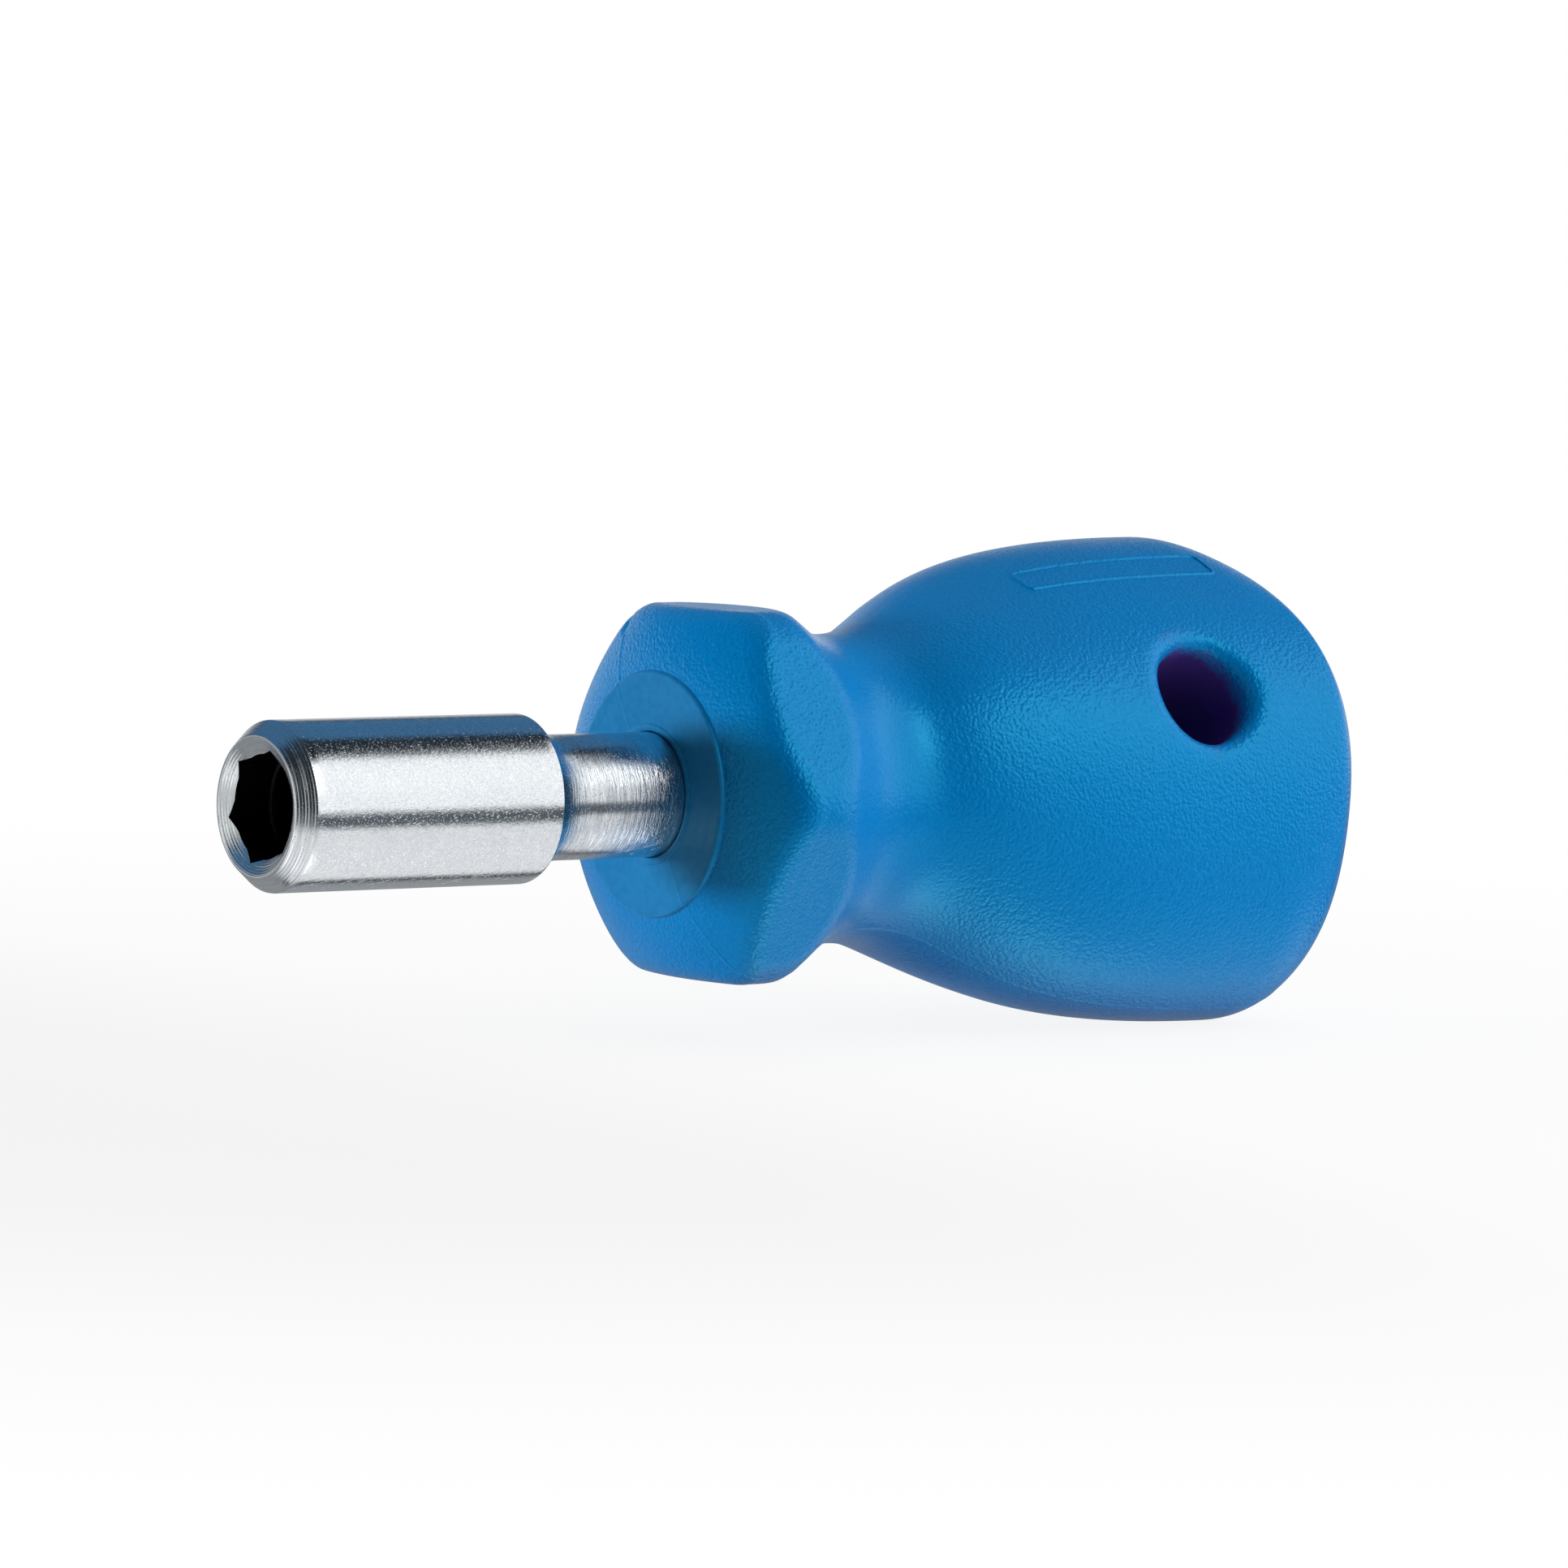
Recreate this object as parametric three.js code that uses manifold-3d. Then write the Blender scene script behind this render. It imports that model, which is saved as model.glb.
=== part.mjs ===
// A short screwdriver that holds standard quarter-inch hexagon bits: a blue moulded handle on a turned steel
// bit holder, with a magnet and a spring ring in the holder's socket.
//
// Millimetres, +Z up. The tool lies along X: the socket opens towards -X and the butt of the handle is at +X.
// The origin is the middle of the magnet's face, where the end of a bit seats.
// Stations along the tool are written as distances from the front rim of the steel.
// Angles round the tool are counted from -Y, the side that the photograph shows, through +Z.
import * as THREE from "three";
import { mergeVertices } from "three/addons/utils/BufferGeometryUtils.js";
import Module from "manifold-3d";

const wasm = await Module();
wasm.setup();

// Driving dimensions

// Clearance between a piece and the piece that holds it
const FIT_GAP = 0.3;

// Hexagon socket, turned a little against the collar: the pilot bore is drilled wider than the flats, so it leaves
// a shallow scallop in each
const SOCKET_ACROSS_FLATS = 6.45;
const SOCKET_DEPTH = 12;
const SOCKET_TURN = 14.5;
const PILOT_RELIEF = 0.075;
const COUNTERSINK_HALF_ANGLE = 60;

// Magnet on the socket's floor
const MAGNET_LENGTH = 3;
const MAGNET_CHAMFER = 0.2;

// Spring ring in its groove
const RING_AT = 3.6;
const RING_WIRE = 0.7;
const RING_OPENING_ANGLE = 50;
const GROOVE_DEPTH = 0.63;

// Steel barrel and neck: the wall is the steel outside the hexagon's corners
const BARREL_WALL = 1.68;
const BARREL_LENGTH = 19.75;
const BARREL_REAR_BREAK = 0.25;
const FRONT_CHAMFER_WIDTH = 0.92;
const FRONT_CHAMFER_LENGTH = 1.14;
const RIM_LAND = 0.16;
const NECK_STEP = 1.4;
const NECK_LENGTH = 10.15;
const NECK_FILLET = 1.1;

// Tang inside the handle: its tip stops short of the hang hole, and its wings stay inside the waist
const TANG_TO_HOLE = 6;
const TANG_TIP_LENGTH = 3;
const TANG_TIP_DIAMETER = 5;
const WING_TO_TIP = 6;
const WING_LENGTH = 14;
const WING_COVER = 4;
const WING_THICKNESS = 4.4;
const WING_CORNER = 2.5;

// Handle: the raised disc round the neck and the front face that slopes back from it
const DISC_DIAMETER = 15.8;
const DISC_HEIGHT = 0.3;
const FRONT_SLOPE = 11.6;
const FRONT_CROWN_RADIUS = 8;

// Handle: the six-sided collar and the round waist behind it
const COLLAR_RISE = 1.92;
const COLLAR_CORNER_RADIUS = 3.6;
const COLLAR_CORNER_LENGTH = 1.9;
const COLLAR_FLARE_LENGTH = 8.4;
const FLARE_SHOULDER_PULL = 2.6;
const FLARE_WAIST_PULL = 4;
const WAIST_DIAMETER = 20;

// Handle: the oval grip, drawn by one outline across its wide side and one across its thin side
const GRIP_LENGTH = 39.85;
const PARTING_ANGLE = 120;
const GRIP_WIDTH = 33.6;
const WIDEST_FROM_BUTT = 11.65;
const WIDE_WAIST_PULL = 7.7;
const WIDE_BELLY_PULL = 22.4;
const WIDE_HEEL_PULL = 7.2;
const WIDE_BUTT_PULL = 5.6;
const GRIP_THICKNESS = 28;
const THICKEST_FROM_BUTT = 7.1;
const THIN_WAIST_PULL = 5.4;
const THIN_BELLY_PULL = 32;
const THIN_HEEL_PULL = 0.7;
const THIN_BUTT_PULL = 6.8;
const RIDGE_SHARE = 0.03;
const RIDGE_RUN_IN = 12;

// Handle: the hang hole across the grip
const HOLE_FROM_BUTT = 17.3;
const HOLE_DIAMETER = 6.6;
const HOLE_MOUTH_RADIUS = 1.4;

// Fineness of the facets
const STEEL_SEGMENTS = 48;
const HANDLE_COLUMNS = 60;
const HOLE_SEGMENTS = 28;
const ARC_STEPS = 6;
const FRONT_ROWS = 5;
const FLARE_ROWS = 12;
const RISE_ROWS = 15;
const HEEL_ROWS = 12;

// Values that follow from them

const radians = THREE.MathUtils.degToRad;
const seatX = (station) => station - SOCKET_DEPTH;

const socketApothem = SOCKET_ACROSS_FLATS / 2;
const socketCornerRadius = socketApothem / Math.cos(Math.PI / 6);
const pilotRadius = socketApothem + PILOT_RELIEF;
const magnetRadius = pilotRadius - FIT_GAP;
const magnetBack = SOCKET_DEPTH + MAGNET_LENGTH;
const grooveRadius = socketCornerRadius + GROOVE_DEPTH;
const grooveHalfWidth = RING_WIRE / 2 + FIT_GAP;
const ringRadius = grooveRadius - FIT_GAP - RING_WIRE / 2;

const barrelRadius = socketCornerRadius + BARREL_WALL;
const rimRadius = barrelRadius - FRONT_CHAMFER_WIDTH;
const countersinkRadius = rimRadius - RIM_LAND;
const countersinkSlope = Math.tan(radians(COUNTERSINK_HALF_ANGLE));
const neckRadius = barrelRadius - NECK_STEP;
const neckFillet = Math.min(NECK_FILLET, NECK_STEP - BARREL_REAR_BREAK);

const waistRadius = WAIST_DIAMETER / 2;
const discRadius = DISC_DIAMETER / 2;
const collarApothem = waistRadius + COLLAR_RISE;
const collarRadius = COLLAR_CORNER_RADIUS + (collarApothem - COLLAR_CORNER_RADIUS) / Math.cos(Math.PI / 6);
// The collar's flats and rounded corners are cut from a round blank that stands a hundredth outside the corners
const blankRadius = 1.01 * collarRadius;

const handleAt = BARREL_LENGTH + NECK_LENGTH;
const waistAt = frontStation(collarRadius) + COLLAR_CORNER_LENGTH + COLLAR_FLARE_LENGTH;
const buttAt = waistAt + GRIP_LENGTH;
const widestAt = buttAt - WIDEST_FROM_BUTT;
const holeAt = buttAt - HOLE_FROM_BUTT;
const tangEnd = holeAt - HOLE_DIAMETER / 2 - TANG_TO_HOLE;
const partingAngle = radians(PARTING_ANGLE);
const holeAngle = partingAngle - Math.PI / 2;

const colours = { blue: 0x0a78be, steel: 0xc9ccd0, magnet: 0x8d9094, spring: 0x6f7276 };

// Solids

// A closed geometry as a solid that can be joined and cut.
function solidOf(geometry) {
  const loose = geometry.index ? geometry.toNonIndexed() : geometry;
  const bare = new THREE.BufferGeometry();
  bare.setAttribute("position", loose.getAttribute("position"));
  const merged = mergeVertices(bare, 1e-4);
  const vertProperties = new Float32Array(merged.getAttribute("position").array);
  const triVerts = new Uint32Array(merged.index.array);
  return new wasm.Manifold(new wasm.Mesh({ numProp: 3, vertProperties, triVerts }));
}

// A solid as a named mesh of the scene.
function meshOf(solid, name, colour, roughness, metalness) {
  const faces = solid.getMesh();
  const geometry = new THREE.BufferGeometry();
  geometry.setAttribute("position", new THREE.BufferAttribute(faces.vertProperties, 3));
  geometry.setIndex(new THREE.BufferAttribute(faces.triVerts, 1));
  geometry.computeVertexNormals();
  const mesh = new THREE.Mesh(geometry, new THREE.MeshStandardMaterial({ color: colour, roughness, metalness }));
  mesh.name = name;
  return mesh;
}

// A solid turned about the tool's axis, from points of [station, radius] that run from the front to the back.
function turned(points, segments = STEEL_SEGMENTS) {
  const outline = points.map(([station, radius]) => new THREE.Vector2(radius, seatX(station)));
  return solidOf(new THREE.LatheGeometry(outline, segments).rotateZ(-Math.PI / 2));
}

// Points of [station, radius] on an arc about [station, radius], both angles measured from the tool's axis.
function arcPoints(station, radius, size, from, to) {
  const points = [];
  for (let step = 0; step <= ARC_STEPS; step++) {
    const angle = from + ((to - from) * step) / ARC_STEPS;
    points.push([station + size * Math.cos(angle), radius + size * Math.sin(angle)]);
  }
  return points;
}

// A prism along the tool's axis between two stations, its outline drawn in a plane whose +Y is the tool's +Y.
function prism(outline, from, to) {
  const body = new THREE.ExtrudeGeometry(outline, { depth: to - from, bevelEnabled: false, curveSegments: ARC_STEPS });
  return solidOf(body.rotateY(Math.PI / 2).translate(seatX(from), 0, 0));
}

// A regular hexagon whose first corner stands at an angle round the tool, its corners rounded where a radius is given.
function hexagon(apothem, cornerAngle, cornerRadius = 0) {
  const outline = new THREE.Shape();
  const reach = (apothem - cornerRadius) / Math.cos(Math.PI / 6);
  for (let corner = 0; corner < 6; corner++) {
    const angle = (corner * Math.PI) / 3 - Math.PI / 2 - radians(cornerAngle);
    const x = reach * Math.cos(angle);
    const y = reach * Math.sin(angle);
    if (cornerRadius > 0) {
      outline.absarc(x, y, cornerRadius, angle - Math.PI / 6, angle + Math.PI / 6, false);
    } else if (corner === 0) {
      outline.moveTo(x, y);
    } else {
      outline.lineTo(x, y);
    }
  }
  outline.closePath();
  return outline;
}

// Bit holder

// The two flat wings of the tang, in the handle's parting plane, grown on all sides by a clearance.
function tangWings(grow) {
  const end = seatX(tangEnd - WING_TO_TIP);
  const front = end - WING_LENGTH - grow;
  const back = end + grow;
  const half = waistRadius - WING_COVER + grow;
  const corner = Math.min(WING_CORNER, half / 2);
  const plan = new THREE.Shape();
  plan.moveTo(front, corner - half);
  plan.lineTo(front + corner, -half);
  plan.lineTo(back - corner, -half);
  plan.lineTo(back, corner - half);
  plan.lineTo(back, half - corner);
  plan.lineTo(back - corner, half);
  plan.lineTo(front + corner, half);
  plan.lineTo(front, half - corner);
  plan.closePath();
  const thickness = WING_THICKNESS + 2 * grow;
  const flat = new THREE.ExtrudeGeometry(plan, { depth: thickness, bevelEnabled: false });
  return solidOf(flat.translate(0, 0, -thickness / 2).rotateX(Math.PI - partingAngle));
}

// The round rod of the tang, from a station in front of the handle to its tip, grown by a clearance.
function tangRod(from, grow) {
  return turned([
    [from, 0],
    [from, neckRadius + grow],
    [tangEnd - TANG_TIP_LENGTH + grow, neckRadius + grow],
    [tangEnd + grow, TANG_TIP_DIAMETER / 2 + grow],
    [tangEnd + grow, 0],
  ]);
}

function bitHolder() {
  const filletEnd = BARREL_LENGTH + neckFillet;
  const barrel = turned([
    [0, 0],
    [0, rimRadius],
    [FRONT_CHAMFER_LENGTH, barrelRadius],
    [BARREL_LENGTH - BARREL_REAR_BREAK, barrelRadius],
    [BARREL_LENGTH, barrelRadius - BARREL_REAR_BREAK],
    ...arcPoints(filletEnd, neckRadius + neckFillet, neckFillet, Math.PI, 1.5 * Math.PI),
    [filletEnd, 0],
  ]);
  const countersink = turned([
    [-SOCKET_DEPTH, 0],
    [-SOCKET_DEPTH, countersinkRadius + SOCKET_DEPTH * countersinkSlope],
    [countersinkRadius / countersinkSlope, 0],
  ]);
  const pilot = turned([
    [-SOCKET_DEPTH, 0],
    [-SOCKET_DEPTH, pilotRadius],
    [magnetBack + FIT_GAP, pilotRadius],
    [magnetBack + FIT_GAP, 0],
  ]);
  const groove = turned([
    [RING_AT - grooveHalfWidth, 0],
    [RING_AT - grooveHalfWidth, grooveRadius],
    [RING_AT + grooveHalfWidth, grooveRadius],
    [RING_AT + grooveHalfWidth, 0],
  ]);
  const socket = prism(hexagon(socketApothem, SOCKET_TURN), -SOCKET_DEPTH, SOCKET_DEPTH);
  return barrel
    .add(tangRod(BARREL_LENGTH, 0))
    .add(tangWings(0))
    .subtract(countersink)
    .subtract(pilot)
    .subtract(socket)
    .subtract(groove);
}

// Magnet and spring ring

function socketMagnet() {
  return turned([
    [SOCKET_DEPTH, 0],
    [SOCKET_DEPTH, magnetRadius - MAGNET_CHAMFER],
    [SOCKET_DEPTH + MAGNET_CHAMFER, magnetRadius],
    [magnetBack - MAGNET_CHAMFER, magnetRadius],
    [magnetBack, magnetRadius - MAGNET_CHAMFER],
    [magnetBack, 0],
  ]);
}

// The middle line of the spring ring, open at the top.
class RingLine extends THREE.Curve {
  getPoint(t, target = new THREE.Vector3()) {
    const opening = radians(RING_OPENING_ANGLE);
    const angle = Math.PI / 2 + opening / 2 + t * (2 * Math.PI - opening);
    return target.set(seatX(RING_AT), ringRadius * Math.cos(angle), ringRadius * Math.sin(angle));
  }
}

function retainingRing() {
  const section = new THREE.Shape().absarc(0, 0, RING_WIRE / 2, 0, 2 * Math.PI, false);
  const options = { extrudePath: new RingLine(), steps: 28, curveSegments: ARC_STEPS };
  return solidOf(new THREE.ExtrudeGeometry(section, options));
}

// Handle

// The station of the handle's front face at a radius: it leaves the disc's foot at a slope and curves back.
function frontStation(radius) {
  const out = radius - discRadius;
  const back = out * Math.tan(radians(FRONT_SLOPE)) + out ** 2 / (2 * FRONT_CROWN_RADIUS);
  return handleAt + DISC_HEIGHT + back;
}

// One outline of the grip, from the waist over the belly to the butt: points of [station, half width] that leave
// the waist and reach the belly level, and close square at the butt.
function gripOutline(half, fromButt, waistPull, bellyPull, heelPull, buttPull) {
  const point = (station, radius) => new THREE.Vector2(station, radius);
  const bellyAt = buttAt - fromButt;
  const rise = new THREE.CubicBezierCurve(
    point(waistAt, waistRadius),
    point(waistAt + waistPull, waistRadius),
    point(bellyAt - bellyPull, half),
    point(bellyAt, half),
  );
  const heel = new THREE.CubicBezierCurve(
    point(bellyAt, half),
    point(bellyAt + heelPull, half),
    point(buttAt, buttPull),
    point(buttAt, 0),
  );
  return { rise, heel, bellyAt };
}

// The half width of an outline at a station, found by halving the curve's parameter.
function halfWidthAt(outline, station) {
  const curve = station < outline.bellyAt ? outline.rise : outline.heel;
  let low = 0;
  let high = 1;
  for (let halving = 0; halving < 40; halving++) {
    const middle = (low + high) / 2;
    if (curve.getPoint(middle).x < station) {
      low = middle;
    } else {
      high = middle;
    }
  }
  return curve.getPoint(high).y;
}

const wideOutline = gripOutline(
  GRIP_WIDTH / 2,
  WIDEST_FROM_BUTT,
  WIDE_WAIST_PULL,
  WIDE_BELLY_PULL,
  WIDE_HEEL_PULL,
  WIDE_BUTT_PULL,
);
const thinOutline = gripOutline(
  GRIP_THICKNESS / 2,
  THICKEST_FROM_BUTT,
  THIN_WAIST_PULL,
  THIN_BELLY_PULL,
  THIN_HEEL_PULL,
  THIN_BUTT_PULL,
);

// The ring of the grip's skin at a station: an oval, wide in the parting plane, whose four quarters are drawn in
// a little so that soft ridges run along the parting line and through the hang hole.
function gripRing(station) {
  const wide = halfWidthAt(wideOutline, station);
  const thin = halfWidthAt(thinOutline, station);
  const ridges = RIDGE_SHARE * THREE.MathUtils.smoothstep(station, waistAt, waistAt + RIDGE_RUN_IN);
  const radiusAt = (angle) => {
    const turn = angle - partingAngle;
    const oval = 1 / Math.hypot(Math.cos(turn) / wide, Math.sin(turn) / thin);
    return oval * (1 - ridges * (1 - Math.cos(4 * turn)));
  };
  return { station, radiusAt };
}

// The rings of the handle's skin from the disc to the butt: each has a station and a radius at each angle.
function handleRings() {
  const rings = [];
  const round = (station, radius) => rings.push({ station, radiusAt: () => radius });
  round(handleAt, discRadius);
  for (let row = 0; row <= FRONT_ROWS; row++) {
    const radius = THREE.MathUtils.lerp(discRadius, blankRadius, row / FRONT_ROWS);
    round(frontStation(radius), radius);
  }
  // Behind the corners the blank rounds over and falls to the waist in an S
  const flareAt = waistAt - COLLAR_FLARE_LENGTH;
  const flare = new THREE.CubicBezierCurve(
    new THREE.Vector2(flareAt, blankRadius),
    new THREE.Vector2(flareAt + FLARE_SHOULDER_PULL, blankRadius),
    new THREE.Vector2(waistAt - FLARE_WAIST_PULL, waistRadius),
    new THREE.Vector2(waistAt, waistRadius),
  );
  for (const { x, y } of flare.getPoints(FLARE_ROWS).slice(0, -1)) {
    round(x, y);
  }
  for (let row = 0; row < RISE_ROWS; row++) {
    rings.push(gripRing(THREE.MathUtils.lerp(waistAt, widestAt, row / RISE_ROWS)));
  }
  for (let row = 0; row < HEEL_ROWS; row++) {
    const share = Math.sin((Math.PI / 2) * (row / HEEL_ROWS));
    rings.push(gripRing(THREE.MathUtils.lerp(widestAt, buttAt, share)));
  }
  return rings;
}

// A closed skin through rings about the tool's axis, capped by a point on the axis at each end.
function loft(rings, frontAt, backAt) {
  const vertices = [];
  const faces = [];
  for (const { station, radiusAt } of rings) {
    for (let column = 0; column < HANDLE_COLUMNS; column++) {
      const angle = (column / HANDLE_COLUMNS) * 2 * Math.PI;
      const radius = radiusAt(angle);
      vertices.push(seatX(station), -radius * Math.cos(angle), radius * Math.sin(angle));
    }
  }
  const frontTip = rings.length * HANDLE_COLUMNS;
  const backTip = frontTip + 1;
  const last = frontTip - HANDLE_COLUMNS;
  vertices.push(seatX(frontAt), 0, 0, seatX(backAt), 0, 0);
  for (let column = 0; column < HANDLE_COLUMNS; column++) {
    const next = (column + 1) % HANDLE_COLUMNS;
    faces.push(frontTip, column, next);
    for (let near = 0; near < last; near += HANDLE_COLUMNS) {
      const far = near + HANDLE_COLUMNS;
      faces.push(near + column, far + column, near + next);
      faces.push(near + next, far + column, far + next);
    }
    faces.push(backTip, last + next, last + column);
  }
  const geometry = new THREE.BufferGeometry();
  geometry.setAttribute("position", new THREE.Float32BufferAttribute(vertices, 3));
  geometry.setIndex(faces);
  return solidOf(geometry);
}

// What is cut away round the collar to leave its six flats and rounded corners.
function collarOffcut() {
  const blank = turned([
    [handleAt, 0],
    [handleAt, 2 * blankRadius],
    [waistAt, 2 * blankRadius],
    [waistAt, 0],
  ]);
  const kept = prism(hexagon(collarApothem, 0, COLLAR_CORNER_RADIUS), BARREL_LENGTH, buttAt);
  return blank.subtract(kept);
}

// The hang hole across the grip's thin side, its mouths rounded out to the surface.
function hangHole() {
  const mouth = HOLE_DIAMETER / 2 + HOLE_MOUTH_RADIUS;
  const surface = halfWidthAt(thinOutline, holeAt);
  const reach = 2 * surface;
  const outline = [new THREE.Vector2(0, -reach), new THREE.Vector2(mouth, -reach)];
  for (const side of [-1, 1]) {
    for (let step = 0; step <= ARC_STEPS; step++) {
      const angle = ((side < 0 ? step : ARC_STEPS - step) / ARC_STEPS) * (Math.PI / 2);
      const radius = mouth - HOLE_MOUTH_RADIUS * Math.sin(angle);
      const depth = surface - HOLE_MOUTH_RADIUS * (1 - Math.cos(angle));
      outline.push(new THREE.Vector2(radius, side * depth));
    }
  }
  outline.push(new THREE.Vector2(mouth, reach), new THREE.Vector2(0, reach));
  const cutter = new THREE.LatheGeometry(outline, HOLE_SEGMENTS);
  return solidOf(cutter.rotateX(-holeAngle).translate(seatX(holeAt), 0, 0));
}

function handle() {
  return loft(handleRings(), handleAt, buttAt)
    .subtract(collarOffcut())
    .subtract(hangHole())
    .subtract(tangRod(BARREL_LENGTH, FIT_GAP))
    .subtract(tangWings(FIT_GAP));
}

// The whole tool

const screwdriver = new THREE.Group();
screwdriver.name = "bit_holder_screwdriver";
screwdriver.add(meshOf(handle(), "handle", colours.blue, 0.45, 0));
screwdriver.add(meshOf(bitHolder(), "bit_holder", colours.steel, 0.25, 1));
screwdriver.add(meshOf(socketMagnet(), "socket_magnet", colours.magnet, 0.35, 1));
screwdriver.add(meshOf(retainingRing(), "retaining_ring", colours.spring, 0.35, 1));

export default screwdriver;
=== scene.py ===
"""Looks of a short screwdriver that holds quarter-inch hexagon bits.

The tool lies along X: the socket opens towards -X and the butt of the handle is at +X. Stations along the
tool are distances from the front rim of the steel, and angles round it are counted from -Y through +Z. Sizes
are written in millimetres and become metres where a mesh is made. The studio is written in metres.
"""

import logging
import math
from dataclasses import dataclass, field
from enum import Enum, IntEnum
from typing import Sequence

import bmesh
import bpy
import numpy as np
from mathutils import Matrix, Vector

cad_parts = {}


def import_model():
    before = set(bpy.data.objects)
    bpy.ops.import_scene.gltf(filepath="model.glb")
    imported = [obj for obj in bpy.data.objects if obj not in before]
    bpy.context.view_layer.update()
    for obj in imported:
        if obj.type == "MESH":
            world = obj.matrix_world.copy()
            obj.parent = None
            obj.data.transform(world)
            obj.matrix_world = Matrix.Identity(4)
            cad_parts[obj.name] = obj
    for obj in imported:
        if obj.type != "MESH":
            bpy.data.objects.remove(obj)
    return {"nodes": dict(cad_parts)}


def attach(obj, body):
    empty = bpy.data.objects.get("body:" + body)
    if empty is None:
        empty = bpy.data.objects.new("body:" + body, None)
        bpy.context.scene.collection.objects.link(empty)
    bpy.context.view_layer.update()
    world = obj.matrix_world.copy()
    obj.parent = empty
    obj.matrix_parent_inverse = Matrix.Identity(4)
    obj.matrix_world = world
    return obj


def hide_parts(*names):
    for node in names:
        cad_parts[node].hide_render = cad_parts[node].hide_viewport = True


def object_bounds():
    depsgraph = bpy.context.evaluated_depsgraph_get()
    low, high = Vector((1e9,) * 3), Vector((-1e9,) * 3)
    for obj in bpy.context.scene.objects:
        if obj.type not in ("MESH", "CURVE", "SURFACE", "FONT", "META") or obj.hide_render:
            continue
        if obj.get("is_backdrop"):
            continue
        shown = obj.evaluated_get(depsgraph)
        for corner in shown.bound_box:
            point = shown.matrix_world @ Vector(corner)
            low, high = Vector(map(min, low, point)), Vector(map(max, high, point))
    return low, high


LOG = logging.getLogger("bit_holder_screwdriver")

MM = 0.001
SEAT_STATION = 12.0
FLOOR_GAP = 0.0001

# Places of the colour sockets on a Mix node
MIX_FIRST = 6
MIX_SECOND = 7
MIX_RESULT = 2

Triple = tuple[float, float, float]
Colour = Triple
Span = tuple[float, float]
Sockets = dict[str, bpy.types.NodeSocket]

BLACK: Colour = (0.0, 0.0, 0.0)
WHITE: Colour = (1.0, 1.0, 1.0)
RISE: Span = (0.0, 1.0)
FALL: Span = (1.0, 0.0)


class Slot(Enum):
    """Material slots of the record that the new pieces take."""

    HANDLE = "handle_plastic"
    HOLDER = "holder_steel"


class HandleZone(IntEnum):
    """Finishes of the handle, in the order of its material slots."""

    GRIP = 0
    DISC = 1
    BORE = 2


class HolderZone(IntEnum):
    """Finishes of the bit holder, in the order of its material slots."""

    BARREL = 0
    NECK = 1
    TURNED = 2
    SOCKET = 3


class Axis(IntEnum):
    """Parts of a direction."""

    X = 0
    Y = 1
    Z = 2


# Rings of points: stations, radii, finish and, on the handle, the share of its flash that stands forward
HandleRing = tuple[np.ndarray, np.ndarray, HandleZone, float]
HolderRing = tuple[np.ndarray, np.ndarray, HolderZone]


# Shapes


def place(station: np.ndarray, radius: np.ndarray, angle: np.ndarray) -> np.ndarray:
    """Turns stations, radii and angles round the tool into points.

    Args:
        station: Distances from the front rim in millimetres.
        radius: Distances from the tool's axis in millimetres.
        angle: Angles round the tool in radians.

    Returns:
        Points in millimetres, one in each row.
    """
    station, radius, angle = np.broadcast_arrays(station, radius, angle)
    return np.stack((station - SEAT_STATION, -radius * np.cos(angle), radius * np.sin(angle)), axis=-1)


def bezier(controls: Sequence[Span], steps: int) -> np.ndarray:
    """Samples a cubic curve.

    Args:
        controls: Its four control points.
        steps: Number of equal steps of its parameter.

    Returns:
        Points along the curve, one in each row.
    """
    t = np.linspace(0.0, 1.0, steps + 1)[:, None]
    a, b, c, d = (np.asarray(point, dtype=float) for point in controls)
    return a * (1 - t) ** 3 + 3 * b * t * (1 - t) ** 2 + 3 * c * t**2 * (1 - t) + d * t**3


def smoothstep(value: np.ndarray, low: float, high: float) -> np.ndarray:
    """Eases from 0 at the low value to 1 at the high one."""
    t = np.clip((value - low) / (high - low), 0.0, 1.0)
    return t * t * (3 - 2 * t)


def soft_min(first: np.ndarray, second: np.ndarray, blend: float) -> np.ndarray:
    """Takes the smaller of two values and rounds the crease where they meet.

    Args:
        first: One set of values.
        second: The other set.
        blend: Difference over which the crease is rounded.

    Returns:
        The joined values.
    """
    share = np.clip(0.5 + 0.5 * (second - first) / blend, 0.0, 1.0)
    return second * (1 - share) + first * share - blend * share * (1 - share)


def hexagon_radius(angle: np.ndarray, apothem: float, turn: float = 0.0, corner: float = 0.0) -> np.ndarray:
    """Gives the radius of a hexagon at each angle round the tool.

    Args:
        angle: Angles round the tool in radians.
        apothem: Half of the hexagon's width across flats.
        turn: Angle of its first corner in degrees.
        corner: Radius of its corners.

    Returns:
        The radii in millimetres.
    """
    sixth = math.pi / 3
    off_corner = np.abs((angle - math.radians(turn) + sixth / 2) % sixth - sixth / 2)
    flat = apothem / np.cos(sixth / 2 - off_corner)
    if corner == 0.0:
        return flat
    reach = (apothem - corner) / math.cos(sixth / 2)
    tangent = math.atan2(corner / 2, reach + corner * math.cos(sixth / 2))
    across = np.minimum(reach * np.sin(off_corner), corner)
    arc = reach * np.cos(off_corner) + np.sqrt(corner**2 - across**2)
    return np.where(off_corner < tangent, arc, flat)


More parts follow.
